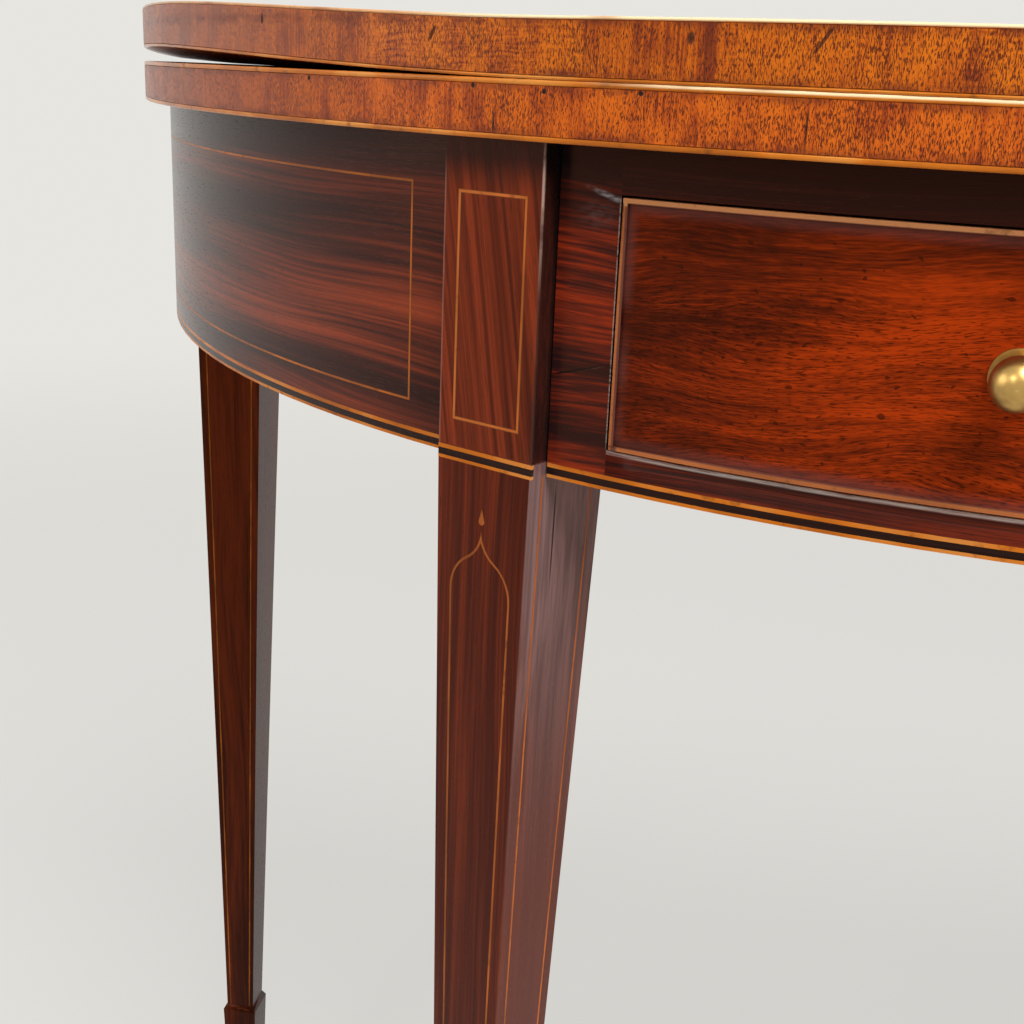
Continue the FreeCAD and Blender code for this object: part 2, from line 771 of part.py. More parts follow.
def make_glue_blocks():
    half = glue_block_length / 2
    inner = rail_inner_radius
    points = [V(-half, -inner - cut_overrun, frieze_top_z), V(-half, -inner + glue_block_leg, frieze_top_z),
              V(-half, -inner, frieze_top_z - glue_block_leg),
              V(-half, -inner - cut_overrun, frieze_top_z - glue_block_leg)]
    wedge = polygon(points).extrude(V(glue_block_length, 0, 0))
    wedge = wedge.common(disc(inner, frieze_top_z - glue_block_leg, frieze_top_z))
    blocks = [turned(wedge, azimuth) for azimuth in glue_block_azimuths]
    corner = V(-glue_block_back_x, back_rail_front_y, frieze_top_z)
    points = [corner, corner - V(0, glue_block_leg, 0), corner - UP * glue_block_leg]
    blocks.append(polygon(points).extrude(V(glue_block_length, 0, 0)))
    write("glue_blocks", group(blocks + [mirrored(shape) for shape in blocks]))


# Drawer


def cockbead_pieces(half_width, low, high):
    inner = frieze_radius - cockbead_depth
    outer = frieze_radius + cockbead_proud
    pieces = []
    for z_low in (low, high - cockbead_width):
        z_high = z_low + cockbead_width
        across = block(-half_width, half_width, -reach, 0, z_low, z_high)
        pieces.append(ring(inner, outer, z_low, z_high).common(across))
    z_low = low + cockbead_width
    z_high = high - cockbead_width
    upright = block(-half_width, -half_width + cockbead_width, -reach, 0, z_low, z_high)
    upright = ring(inner, outer, z_low, z_high).common(upright)
    return pieces + [upright, mirrored(upright)]


def make_knob():
    """A turned knob with its spindle, its nut and its hole, at the front of the plan."""
    z = (opening_low_z + opening_high_z) / 2
    face = -frieze_radius
    inner_radius = frieze_radius - drawer_front_thickness
    low = opening_low_z
    high = opening_high_z

    def at(radius, out):
        return V(radius, face - out, z)

    ball_out = knob_length - knob_head_radius
    neck_out = ball_out - math.sqrt(knob_head_radius ** 2 - knob_neck_radius ** 2)
    points = [at(0, -knob_base_height), at(knob_base_radius, -knob_base_height),
              at(knob_base_radius, knob_base_height), at(knob_neck_radius, knob_base_height),
              at(knob_neck_radius, neck_out)]
    edges = [Part.makeLine(start, end) for start, end in zip(points, points[1:])]
    edges.append(Part.Arc(points[-1], at(knob_head_radius, ball_out), at(0, knob_length)).toShape())
    edges.append(Part.makeLine(at(0, knob_length), points[0]))
    turned_head = Part.Face(Part.Wire(edges)).revolve(V(0, face, z), V(0, 1, 0), 360)
    turned_head = turned_head.cut(disc(frieze_radius, low, high))
    length = drawer_front_thickness + knob_nut_thickness + cut_overrun
    spindle = Part.makeCylinder(knob_spindle_radius, length, at(0, cut_overrun), V(0, 1, 0))
    hole = spindle.copy()
    knob = turned_head.fuse(spindle.common(disc(frieze_radius, low, high))).removeSplitter()
    half = knob_nut_size / 2
    nut = block(-half, half, face, -inner_radius + knob_nut_thickness, z - half, z + half)
    nut = nut.common(disc(inner_radius, low, high)).cut(hole)
    return knob, nut, hole


def make_drawer():
    low = opening_low_z + drawer_gap
    high = opening_high_z - drawer_gap
    half_width = opening_half_width - drawer_gap
    inner_radius = frieze_radius - drawer_front_thickness
    side_x = opening_half_width - drawer_side_gap
    side_low = opening_low_z + drawer_floor_gap
    back_y = back_rail_front_y - drawer_back_gap

    front = ring(inner_radius, frieze_radius, low, high)
    front = front.common(block(-half_width, half_width, -reach, 0, low, high))
    beads = cockbead_pieces(half_width, low, high)
    for bead in beads:
        front = front.cut(bead)
    write("drawer_cockbeads", group(beads))

    bottom_low = side_low + drawer_bottom_rise
    bottom_high = bottom_low + drawer_bottom_thickness
    panel_x = side_x - drawer_side_thickness + drawer_groove
    panel = disc(inner_radius + drawer_groove, bottom_low, bottom_high)
    panel = panel.common(block(-panel_x, panel_x, -reach, back_y, bottom_low, bottom_high))
    back = block(-panel_x, panel_x, back_y - drawer_back_thickness, back_y, bottom_high, high)
    write("drawer_bottom", panel)
    write("drawer_back", back)

    side = block(-side_x, -side_x + drawer_side_thickness, -reach, back_y, side_low, high)
    side = side.common(disc(inner_radius, side_low, high))
    root = V(-side_x, -math.sqrt(inner_radius ** 2 - side_x ** 2), 0)
    tip = V(-side_x, -math.sqrt(frieze_radius ** 2 - side_x ** 2), 0)
    side_tails = tail_prisms(root, tip, V(drawer_side_thickness, 0, 0), low, high)
    limit = disc(frieze_radius - cockbead_depth - drawer_tail_lap, side_low, high)
    for tail in side_tails:
        side = side.fuse(tail.common(limit))
    front = front.cut(side).cut(mirrored(side)).cut(panel)
    side = side.removeSplitter().cut(panel).cut(back)
    write("left_drawer_side", side)
    write("right_drawer_side", mirrored(side))

    knob, nut, hole = make_knob()
    for azimuth in (knob_azimuth, -knob_azimuth):
        front = front.cut(turned(hole, azimuth))
    write("drawer_front", front)
    write("drawer_knobs", group([turned(knob, knob_azimuth), turned(knob, -knob_azimuth)]))
    write("drawer_knob_nuts", group([turned(nut, knob_azimuth), turned(nut, -knob_azimuth)]))


os.makedirs("parts", exist_ok=True)
make_lower_leaf()
make_upper_leaf()
make_leaf_hinges()
make_frieze()
make_gates()
make_drawer_ways()
make_glue_blocks()
make_drawer()
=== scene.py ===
"""Looks of a half-round fold-over table: French-polished mahogany, boxwood and ebony lines, brass fittings."""

import json
from functools import reduce
from math import radians

import bmesh
import bpy
from mathutils import Matrix, Vector


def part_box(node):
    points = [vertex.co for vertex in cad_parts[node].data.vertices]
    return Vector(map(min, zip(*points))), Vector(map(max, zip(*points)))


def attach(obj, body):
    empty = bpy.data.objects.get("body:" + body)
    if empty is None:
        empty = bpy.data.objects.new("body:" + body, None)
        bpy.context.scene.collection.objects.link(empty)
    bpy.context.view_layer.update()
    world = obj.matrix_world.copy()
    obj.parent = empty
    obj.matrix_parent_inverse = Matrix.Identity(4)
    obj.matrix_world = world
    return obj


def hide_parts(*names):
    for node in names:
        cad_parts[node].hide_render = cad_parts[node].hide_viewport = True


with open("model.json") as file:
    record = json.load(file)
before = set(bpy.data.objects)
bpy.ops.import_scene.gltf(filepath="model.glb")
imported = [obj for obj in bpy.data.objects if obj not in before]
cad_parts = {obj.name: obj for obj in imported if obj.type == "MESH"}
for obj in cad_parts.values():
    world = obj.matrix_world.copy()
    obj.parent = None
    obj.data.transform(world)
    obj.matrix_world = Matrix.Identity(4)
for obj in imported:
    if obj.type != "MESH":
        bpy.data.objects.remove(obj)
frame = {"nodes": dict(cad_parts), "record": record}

bl_info = {
    "name": "Half-round fold-over table",
    "version": (1, 0, 0),
    "blender": (4, 5, 0),
    "location": "View3D > Sidebar > Table",
    "description": "Finishes the pieces of a half-round fold-over table and sets it in a pale studio",
    "category": "Object",
}

NODES = frame["nodes"]
BODY_OF = {node: body for body, nodes in frame["record"]["behaviour"]["bodies"].items() for node in nodes}

# The bow is drawn about a centre behind the table: its rim radius and that centre come from the lower leaf.
LEAF_LOW, LEAF_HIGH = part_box("lower_leaf_edge_lines")
BACK_Y = LEAF_HIGH.y
BOW_DEPTH = BACK_Y - LEAF_LOW.y
BOW_RADIUS = (LEAF_HIGH.x ** 2 + BOW_DEPTH ** 2) / (2 * BOW_DEPTH)
BOW_CENTRE_Y = LEAF_LOW.y + BOW_RADIUS
DEGREE = radians(1.0) * BOW_RADIUS
JOINT_Z = LEAF_HIGH.z
FRIEZE_TOP_Z = LEAF_LOW.z
TOP_Z = 0.737
LINE_HEIGHT = 0.0012
BAND_TOP_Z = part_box("base_band_boxwood")[1].z

# Heights at which a veneer is redder, how far that reaches and how strong it is.
FRIEZE_GLOWS = ((0.64, 0.034, 1.0), (0.681, 0.012, 0.55), (0.604, 0.009, 0.55))
STILE_GLOWS = ((0.661, 0.026, 1.0), (0.606, 0.009, 0.6))

# The drawer's opening, and the front legs as they stand turned about the bow's centre.
OPENING_LOW_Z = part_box("drawer_bottom_rail")[1].z
OPENING_HALF = -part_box("left_drawer_stile")[1].x
OPENING_TOP_Z = 0.686
RAIL_FRONT = BOW_RADIUS - 0.012
BEAD_FRONT = BOW_RADIUS - 0.0108
LEG_TURN = radians(29.25)
LEG_FACE = 0.4953
LEG_HALF = 0.01975
ANKLE_Z = 0.108
ANKLE_HALF = 0.00925

# Inlaid lines round the sides of the frieze and round the blocks of the front legs.
PANEL_RUN = (radians(34.07) * BOW_RADIUS, radians(73.4) * BOW_RADIUS)
PANEL_STRING = 0.001
PANEL_BARE = 0.0007
BLOCK_LOW = (-0.014, 0.6123)
BLOCK_HIGH = (0.014, 0.6861)
BLOCK_STRING = 0.0013
BLOCK_BARE = 0.0008

# Hinge screws: how deep their heads lie and how much play each has in its sink.
SCREW_SINK = 0.0009
SCREW_PLAY = 0.0001

# What tells points, edges and faces apart: lengths, then angles between faces.
SAME_POINT = 0.000001
NARROW = 0.0001
TALL = 0.04
FLAT = radians(0.3)
SHARP = radians(35)
ARRIS = radians(40)


def gloss(level, *tint):
    return {"Specular IOR Level": level, "Specular Tint": (*tint, 1.0)}


# Depth of the relief in a polished face and in a line, the gloss of each finish, the colours of dirt, of the painted
# shadow under the leaves, and of cracks and the painted shade in recesses.
RELIEF = 0.00004
LINE_RELIEF = -0.00005
POLISH = gloss(0.24, 0.9, 0.24, 0.08)
LINE_POLISH = gloss(0.2, 0.9, 0.36, 0.08)
ARRIS_POLISH = gloss(0.42, 1.0, 0.55, 0.16)
BARE = {"Specular IOR Level": 0.2}
LEAF_SHADOW = (0.006, 0.005, 0.006)
CRACK_AND_RECESS_SHADE = (0.008, 0.007, 0.007)
STAIN_DIRT = (0.02, 0.01, 0.01)
STAIN_DARK = (0.1, 0.02, 0.01)


def length(label, about, default, low, high):
    return bpy.props.FloatProperty(
        name=label, description=about, default=default, min=low, max=high, unit="LENGTH", precision=4)


def stain(label, about, *default):
    return bpy.props.FloatVectorProperty(
        name=label, description=about, default=default, size=3, min=0.0, max=1.0, subtype="COLOR")


def power(label, about, default):
    return bpy.props.FloatProperty(name=label, description=about, default=default, min=0.0, unit="POWER")


class TableSizes(bpy.types.PropertyGroup):
    """Sizes of the small work that finishes the table."""
    arris_ease: length("Arris ease", "Width of the worn rounding along the leaves' boxwood arrises",
                       0.0006, 0.0001, 0.001)
    leg_ease: length("Leg ease", "Width of the worn rounding along the legs' corners", 0.0005, 0.0001, 0.002)
    bead_ease: length("Bead ease", "Rounding of the cockbeads and of the rails' edges round the drawer",
                      0.0004, 0.0001, 0.0007)
    section_width: length("Crossband section", "Usual width of one piece of veneer in the leaves' crossbanding",
                          0.046, 0.01, 0.2)
    border_width: length("Top border", "Width of the crossbanded border on the faces of the leaves", 0.042, 0.01, 0.1)
    border_string: length("Top string", "Width of the boxwood string inside the leaves' border", 0.0015, 0.0005, 0.005)
    screw_head: length("Screw head", "Diameter of the hinge screws' heads", 0.0056, 0.002, 0.01)
    screw_slot: length("Screw slot", "Width of the slot in each screw head", 0.0009, 0.0003, 0.002)
    screw_count: bpy.props.IntProperty(
        name="Screws in a flap", description="Screws that hold each hinge flap", default=3, min=2, max=5)
    screw_spacing: length("Screw spacing", "Distance from one screw of a flap to the next", 0.021, 0.007, 0.028)
    screw_row: length("Screw row", "Distance of the screws from the line where the leaves meet", 0.0086, 0.0065, 0.0105)
    hinge_length: length("Hinge length", "Length of each hinge flap", 0.062, 0.05, 0.1)


class TableColours(bpy.types.PropertyGroup):
    """Colours of the woods and metals."""
    frieze_dark: stain("Frieze dark", "Darkest streaks of the frieze veneer", 0.018, 0.007, 0.007)
    frieze_light: stain("Frieze light", "Red streaks of the frieze veneer", 0.28, 0.044, 0.015)
    leg_dark: stain("Leg dark", "Dark grain of the legs", 0.044, 0.007, 0.004)
    leg_light: stain("Leg light", "Light grain of the legs", 0.26, 0.038, 0.011)
    drawer_dark: stain("Drawer dark", "Dark figure of the drawer front", 0.032, 0.004, 0.002)
    drawer_light: stain("Drawer light", "Glowing figure of the drawer front", 0.4, 0.037, 0.003)
    band_dark: stain("Crossband dark", "Dark pieces and pores of the crossbanding", 0.12, 0.025, 0.014)
    band_light: stain("Crossband light", "Light pieces of the crossbanding", 0.655, 0.157, 0.012)
    top_dark: stain("Top dark", "Dark figure of the leaves' faces", 0.085, 0.018, 0.006)
    top_light: stain("Top light", "Light figure of the leaves' faces", 0.35, 0.08, 0.013)
    boxwood: stain("Boxwood", "Stained boxwood lines", 0.56, 0.15, 0.014)
    ebony: stain("Ebony", "Black line of the base band", 0.012, 0.01, 0.01)
    cockbead: stain("Cockbead", "Worn bead round the drawer", 0.43, 0.135, 0.045)
    brass: stain("Brass", "Aged brass", 0.56, 0.35, 0.11)
    pale: stain("Pale ground", "Floor and background", 0.8, 0.785, 0.748)


class TableStudio(bpy.types.PropertyGroup):
    """Light of the studio."""
    key_power: power("Key lamp", "Power of the large lamp above the front", 70.0)
    fill_power: power("Fill lamp", "Power of the lamp at the left", 11.0)
    edge_power: power("Edge lamp", "Power of the small lamp that glints along the arrises", 6.5)
    room_light: bpy.props.FloatProperty(
        name="Room light", description="Strength of the light that comes from all round", default=0.4, min=0.0)


def arithmetic(operation, swapped=False):
    """A method of Value that adds a math node; if swapped, the other operand comes first."""
    def work(value, other):
        return value.nodes.math(operation, *((other, value) if swapped else (value, other)))
    return work


class Value:
    """A node's output that takes part in plain arithmetic, which adds math nodes to its tree."""
    __add__, __radd__ = arithmetic("ADD"), arithmetic("ADD", swapped=True)
    __sub__, __rsub__ = arithmetic("SUBTRACT"), arithmetic("SUBTRACT", swapped=True)
    __mul__, __truediv__ = arithmetic("MULTIPLY"), arithmetic("DIVIDE")

    def __init__(self, nodes, socket):
        self.nodes = nodes
        self.socket = socket

    def __abs__(self):
        return self.nodes.math("ABSOLUTE", self)


class Nodes:
    """A node tree built by short calls that take values or plain numbers."""

    def __init__(self, tree):
        self.tree = tree

    def put(self, socket, value):
        if isinstance(value, Value):
            self.tree.links.new(value.socket, socket)
        elif value is not None:
            socket.default_value = value

    def node(self, kind, values=(), **settings):
        """A new node. Values go to its inputs in their order, or by name or number from a dict."""
        made = self.tree.nodes.new(kind)
        for setting, value in settings.items():
            setattr(made, setting, value)
        for key, value in values.items() if isinstance(values, dict) else enumerate(values):
            self.put(made.inputs[key], value)
        return made

    def out(self, kind, values=(), output=0, **settings):
        """One output of a new node."""
        return Value(self, self.node(kind, values, **settings).outputs[output])

    def split(self, point):
        return tuple(Value(self, socket) for socket in self.node("ShaderNodeSeparateXYZ", (point,)).outputs)

    def math(self, operation, *values):
        return self.out("ShaderNodeMath", values, operation=operation)

    def least(self, *values):
        return reduce(lambda first, second: self.math("MINIMUM", first, second), values)

    def most(self, *values):
        return reduce(lambda first, second: self.math("MAXIMUM", first, second), values)

    def seen(self):
        """1 for what the camera sees, straight, in a gloss or through a clear piece; 0 for the light that falls."""
        rays = self.node("ShaderNodeLightPath").outputs
        return self.most(*(Value(self, rays[kind])
                           for kind in ("Is Camera Ray", "Is Glossy Ray", "Is Transmission Ray")))

    def show(self, output, shader):
        self.put(self.tree.nodes[output].inputs["Surface"], shader)


class Finish(Nodes):
    """One material's node tree."""

    def __init__(self, name, constants):
        self.material = bpy.data.materials.new(name)
        self.material.use_nodes = True
        super().__init__(self.material.node_tree)
        self.shader = self.tree.nodes["Principled BSDF"]
        for socket, value in constants.items():
            self.put(self.shader.inputs[socket], value)

    def place(self):
        """Object coordinates as three values."""
        return self.split(self.out("ShaderNodeTexCoord", output="Object"))

    def reach(self, x, y):
        return self.math("SQRT", x * x + y * y)

    def round_bow(self):
        """Run along the rim from the middle of the front, height, and distance from the bow's centre."""
        x, y, z = self.place()
        ahead = BOW_CENTRE_Y - y
        return self.math("ARCTAN2", x, ahead) * BOW_RADIUS, z, self.reach(x, ahead)

    def noise(self, point, sizes, shift=0.0, detail=1.0, roughness=0.5):
        """Smooth noise whose features are about as large as the sizes along the three coordinates."""
        joined = self.out("ShaderNodeCombineXYZ", point)
        vector = self.out("ShaderNodeMapping", (joined, (shift,) * 3, None, tuple(1.0 / size for size in sizes)))
        return self.out("ShaderNodeTexNoise",
                        {"Vector": vector, "Scale": 1.0, "Detail": detail, "Roughness": roughness})

    def sections(self, run, width, shift):
        """A random share for each piece along a run of irregular pieces, and the distance to the nearest joint."""
        step = {"W": run / width + shift, "Scale": 1.0}
        colour, joint = (
            self.out("ShaderNodeTexVoronoi", step, output, voronoi_dimensions="1D", feature=feature)
            for feature, output in (("F1", "Color"), ("DISTANCE_TO_EDGE", "Distance")))
        return self.out("ShaderNodeSeparateColor", (colour,)), joint * width

    def fade(self, value, start, end):
        """From 0 at start to 1 at end, smoothly; start may be the higher one."""
        low, high = (0.0, 1.0) if start < end else (1.0, 0.0)
        return self.out("ShaderNodeMapRange", (value, min(start, end), max(start, end), low, high),
                        interpolation_type="SMOOTHSTEP")

    def near(self, value, place, start, end):
        """From 0 at the distance start from a place to 1 at the distance end."""
        return self.fade(abs(value - place), start, end)

    def mark(self, run, height, place, half_size, turn=0.0, core=0.55):
        """An oval mark on the surface: 1 inside its core, fading to 0 at its edge."""
        point = self.out("ShaderNodeCombineXYZ", (run, height, 0.0))
        local = self.out("ShaderNodeMapping", (point, (*place, 0.0), (0.0, 0.0, radians(turn)), (*half_size, 1.0)),
                         vector_type="TEXTURE")
        return self.fade(self.out("ShaderNodeVectorMath", (local,), "Value", operation="LENGTH"), 1.0, core)

    def crept(self, run, height, low, high, string, bare):
        """Old dirt that has crept over both sides of a rectangular line, leaving the middle of the string bare."""
        ways = (abs(way - (start + end) / 2) - (end - start - string) / 2
                for way, start, end in zip((run, height), low, high))
        return self.fade(abs(self.most(*ways)), bare / 2 - NARROW, bare / 2 + NARROW)

    def mix(self, share, first, second, strength=None):
        """First where share is 0 and second where it is 1, or as much of second as strength allows."""
        if strength is not None:
            share = share * strength
        first, second = (value if isinstance(value, Value) else (*value, 1.0) for value in (first, second))
        return self.out("ShaderNodeMix", {0: share, 6: first, 7: second}, 2, data_type="RGBA")

    def coats(self, colour, *laid_over):
        """A colour with others laid over it in turn, each given by its share, itself and its strength if not 1."""
        for share, over, *strength in laid_over:
            colour = self.mix(share, colour, over, *strength)
        return colour

    def tones(self, share, colours):
        """A colour ramp with the colours evenly spaced."""
        made = self.node("ShaderNodeValToRGB", (share,))
        stops = made.color_ramp.elements
        while len(stops) < len(colours):
            stops.new(0.5)
        for index, colour in enumerate(colours):
            stops[index].position = index / (len(colours) - 1)
            stops[index].color = (*colour, 1.0)
        return Value(self, made.outputs[0])

    def ramp(self, share, dark, light, *steps):
        """A colour ramp from dark to light whose inner stops have the given shares of light."""
        return self.tones(share, (dark, *(between(dark, light, step) for step in steps), light))

    def finish(self, colour, roughness, height, depth=RELIEF):
        """Joins colour, roughness and relief to the shader; depth is the relief's height in metres."""
        bump = self.out("ShaderNodeBump", {"Strength": 1.0, "Distance": depth, "Height": height})
        for name, value in (("Base Color", colour), ("Roughness", roughness), ("Normal", bump)):
            self.put(self.shader.inputs[name], value)
        return self.material


def between(dark, light, share):
    return tuple(a + (b - a) * share for a, b in zip(dark, light))


def shade(colour, share):
    return between(colour, (0.0, 0.0, 0.0), share)


def scaled(colour, *parts):
    return tuple(value * part for value, part in zip(colour, parts))


def grain(f, course, broad, streak, pore, wander, shift):
    """Broad tone, fine streaks and pores of straight wood. Course gives along, across and through; each size pair is
    a length along the grain and a width across it."""
    along, across, through = course
    sway = f.noise(course, (0.16, 0.05, 0.05), shift + 11.0)
    bent = (along, across + (sway - 0.5) * wander, through)
    wide = f.noise(bent, (*broad, broad[1]), shift, 2.0)
    thin = f.noise(bent, (*streak, streak[1]), shift + 3.0, 4.0, 0.6)
    dots = f.noise(bent, (*pore, pore[1]), shift + 7.0)
    return wide, thin, f.fade(dots, 0.6, 0.7)


def polished(name, course_of, dark, light, broad, streak, pore, wander, shift):
    """A French-polished wood. Course_of takes the finish and gives the grain's three coordinates."""
    f = Finish(name, POLISH)
    wide, thin, pores = grain(f, course_of(f), broad, streak, pore, wander, shift)
    tone = f.fade(wide * 0.5 + thin * 0.5, 0.36, 0.64)
    colour = f.mix(pores, f.ramp(tone, dark, light, 0.35, 0.62), shade(dark, 0.4), 0.55)
    rough = wide * 0.1 + pores * 0.1 + 0.17
    return f.finish(colour, rough, thin * 0.35 - pores * 0.6)


def laid(*order):
    """The course of a grain that lies along, across and through the given axes."""
    def course_of(f):
        place = f.place()
        return tuple(place[axis] for axis in order)
    return course_of


UPRIGHT, LENGTHWAYS, FORE_AND_AFT = laid(2, 0, 1), laid(0, 2, 1), laid(1, 0, 2)


def crossband(name, dark, light, section_width, window, rippling, end_tone, ends, shift, holes, scars):
    """Upright-grained veneer round a leaf's edge, laid in pieces of differing colour, with worm holes and old scars.
    Window sets how light the whole is, rippling how strong the cross figure is, the colour given after rippling is the
    one that the sides fade to, and ends are the band's heights."""
    f = Finish(name, POLISH)
    on = run, height, radius = f.round_bow()
    share, joint = f.sections(run, section_width, shift)
    thin = f.noise(on, (0.001, 0.024, 0.02), shift, 3.0, 0.6)
    cloud = f.noise(on, (0.009, 0.017, 0.02), shift + 5.0, 2.0)
    swell = f.noise(on, (0.01, 0.006, 0.02), shift + 21.0)
    waved = height + swell * 0.0022
    ripple = f.noise((run, waved, radius), (0.014, 0.0007, 0.02), shift + 9.0)
    rippled = f.fade(share, 0.4, 0.7) * (ripple - 0.5)
    flecks = f.noise(on, (0.00026, 0.0013, 0.02), shift + 13.0)
    thick = f.noise(on, (0.016, 0.014, 0.02), shift + 17.0)
    pores = f.fade(flecks + thick * 0.22, 0.62, 0.7)
    tone = f.fade(thin * 0.46 + cloud * 0.46 + share * 0.08 + rippled * rippling, *window)
    rim = f.least(*(abs(height - end) for end in ends))
    pits, cuts = (f.most(*(f.mark(run, height, *marks) for marks in found)) for found in (holes, scars))
    worn = f.most(pits, cuts * 0.8)
    red = scaled(light, 0.66, 0.5, 0.9)
    colour = f.coats(
        f.tones(tone, (dark, between(dark, red, 0.6), between(red, light, 0.45), light)),
        (pores, between(dark, (0.02, 0.006, 0.008), 0.6), 0.85),
        (f.fade(joint, 0.0005, 0.0001), dark, 0.35),
        # Towards both ends of the bow the band fades to a paler, pinker tone.
        (f.fade(abs(run), 0.26, 0.42), end_tone, 0.5),
        (f.fade(rim, 0.003, 0.0) * f.fade(swell, 0.3, 0.62), dark, 0.6),
        (worn, (0.014, 0.011, 0.012)))
    rough = cloud * 0.12 + pores * 0.12 + worn * 0.4 + 0.18
    return f.finish(colour, rough, thin * 0.25 - pores * 0.5 - worn * 3.0, 2 * RELIEF)


def leaf_face(name, colours, sizes, shift):
    """Figured face of a leaf inside a crossbanded border and a boxwood string."""
    f = Finish(name, POLISH)
    x, y, z = f.place()
    run, height, radius = f.round_bow()
    wide, thin, pores = grain(f, (x, y, z), (0.4, 0.028), (0.16, 0.0024), (0.006, 0.0005), 0.06, shift)
    ribbon = f.noise((x, y, z), (0.03, 0.14, 0.1), shift + 21.0, 2.0)
    dark, light = colours.top_dark, colours.top_light
    tone = f.fade(wide * 0.46 + thin * 0.4 + ribbon * 0.14, 0.34, 0.66)
    from_rim, from_back = BOW_RADIUS - radius, BACK_Y - y
    inset = f.least(from_rim, from_back)
    straight = f.math("LESS_THAN", from_back, from_rim)
    course = run + straight * (x - run)
    share, joint = f.sections(course, sizes.section_width * 1.6, shift)
    rays = f.noise((course, inset, height), (0.0018, 0.04, 0.02), shift + 2.0, 3.0, 0.6)
    cloud = f.noise((course, inset, height), (0.012, 0.03, 0.02), shift + 4.0, 2.0)
    band_dark, band_light = colours.band_dark, between(colours.band_light, light, 0.45)
    band = f.ramp(f.fade(rays * 0.5 + cloud * 0.35 + share * 0.15, 0.25, 0.75), band_dark, band_light, 0.55)
    band = f.mix(f.fade(joint, 0.0006, 0.0001), band, band_dark, 0.5)
    inner, outer = (f.fade(inset, edge - NARROW, edge + NARROW)
                    for edge in (sizes.border_width + sizes.border_string, sizes.border_width))
    colour = f.mix(inner, colours.boxwood, f.ramp(tone, dark, light, 0.4, 0.7))
    colour = f.mix(pores, f.mix(outer, band, colour), dark, 0.45)
    rough = wide * 0.12 + pores * 0.1 + 0.16
    return f.finish(colour, rough, thin * 0.3 - pores * 0.5)


def drawer_veneer(name, colours):
    """Glowing figured veneer whose short dark strokes rise to the right, with a dark cloud at the top left, a flame
    beside it and a haze of old polish along its edges."""
    f = Finish(name, POLISH)
    on = run, height, radius = f.round_bow()
    low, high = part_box("drawer_front")
    sway = f.noise(on, (0.075, 0.03, 0.1), 31.0)
    lifted = height - run * 0.08 + (sway - 0.5) * 0.018
    figure = (run, lifted, radius)
    strokes = f.noise(figure, (0.008, 0.0007, 0.1), 33.0, 2.0, 0.6)
    streaks = f.noise(figure, (0.07, 0.0032, 0.1), 35.0, 3.0, 0.6)
    cloud = f.noise(figure, (0.09, 0.02, 0.1), 37.0)
    dashes = f.fade(f.noise(figure, (0.0034, 0.00036, 0.1), 41.0), 0.55, 0.63)
    specks = f.fade(f.noise(on, (0.003, 0.0022, 0.1), 39.0, 0.0), 0.76, 0.8)
    centre = f.fade(run, low.x, low.x + 0.11) * f.fade(height, high.z, high.z - 0.026)
    dusk = f.mark(run, height, (low.x + 0.024, high.z - 0.013), (0.046, 0.013), 4.0, 0.0)
    flame = f.mark(run, height, (low.x + 0.076, high.z - 0.024), (0.04, 0.014), 8.0, 0.0)
    tone = strokes * 0.3 + streaks * 0.3 + cloud * 0.28 + centre * 0.11 - dusk * 0.07 + flame * 0.09
    figured = f.fade(height, high.z - 0.012, high.z - 0.03) * 0.5 + 0.15
    inset = f.least(high.x - abs(f.place()[0]), f.least(height - low.z, high.z - height))
    haze = f.fade(inset, 0.006, 0.001) * f.fade(cloud, 0.2, 0.55)
    dark, light = colours.drawer_dark, colours.drawer_light
    colour = f.coats(
        f.ramp(f.fade(tone, 0.32, 0.68), dark, light, 0.24, 0.55),
        (dashes * figured, shade(dark, 0.6)),
        (specks, shade(dark, 0.6), 0.7),
        (haze, (0.125, 0.048, 0.042), 0.65))
    rough = cloud * 0.12 + specks * 0.2 + haze * 0.1 + 0.13
    return f.finish(colour, rough, strokes * 0.4 - dashes * 0.4 - specks * 0.5)


def turned_leg(f, side):
    """Course of a front leg, which is turned about the bow's centre: height, across its front, and out from there."""
    point = f.out("ShaderNodeTexCoord", output="Object")
    turn = (0.0, 0.0, side * LEG_TURN)
    x, y, z = f.split(f.out("ShaderNodeMapping", (point, (0.0, BOW_CENTRE_Y, 0.0), turn), vector_type="TEXTURE"))
    return z, x, y * -1.0


def leg_half(f, along):
    """Half the width of a front leg at a height."""
    return f.out("ShaderNodeMapRange", (along, ANKLE_Z, BAND_TOP_Z, ANKLE_HALF, LEG_HALF))


def leg_block(f, along):
    """1 on the block at the top of a front leg."""
    return f.fade(along, BAND_TOP_Z - 0.0005, BAND_TOP_Z + 0.0005)


def under_leaves(f, height):
    """1 just under the leaves, where a painted shadow darkens the wood."""
    return f.fade(height, FRIEZE_TOP_Z - 0.017, FRIEZE_TOP_Z - 0.004)


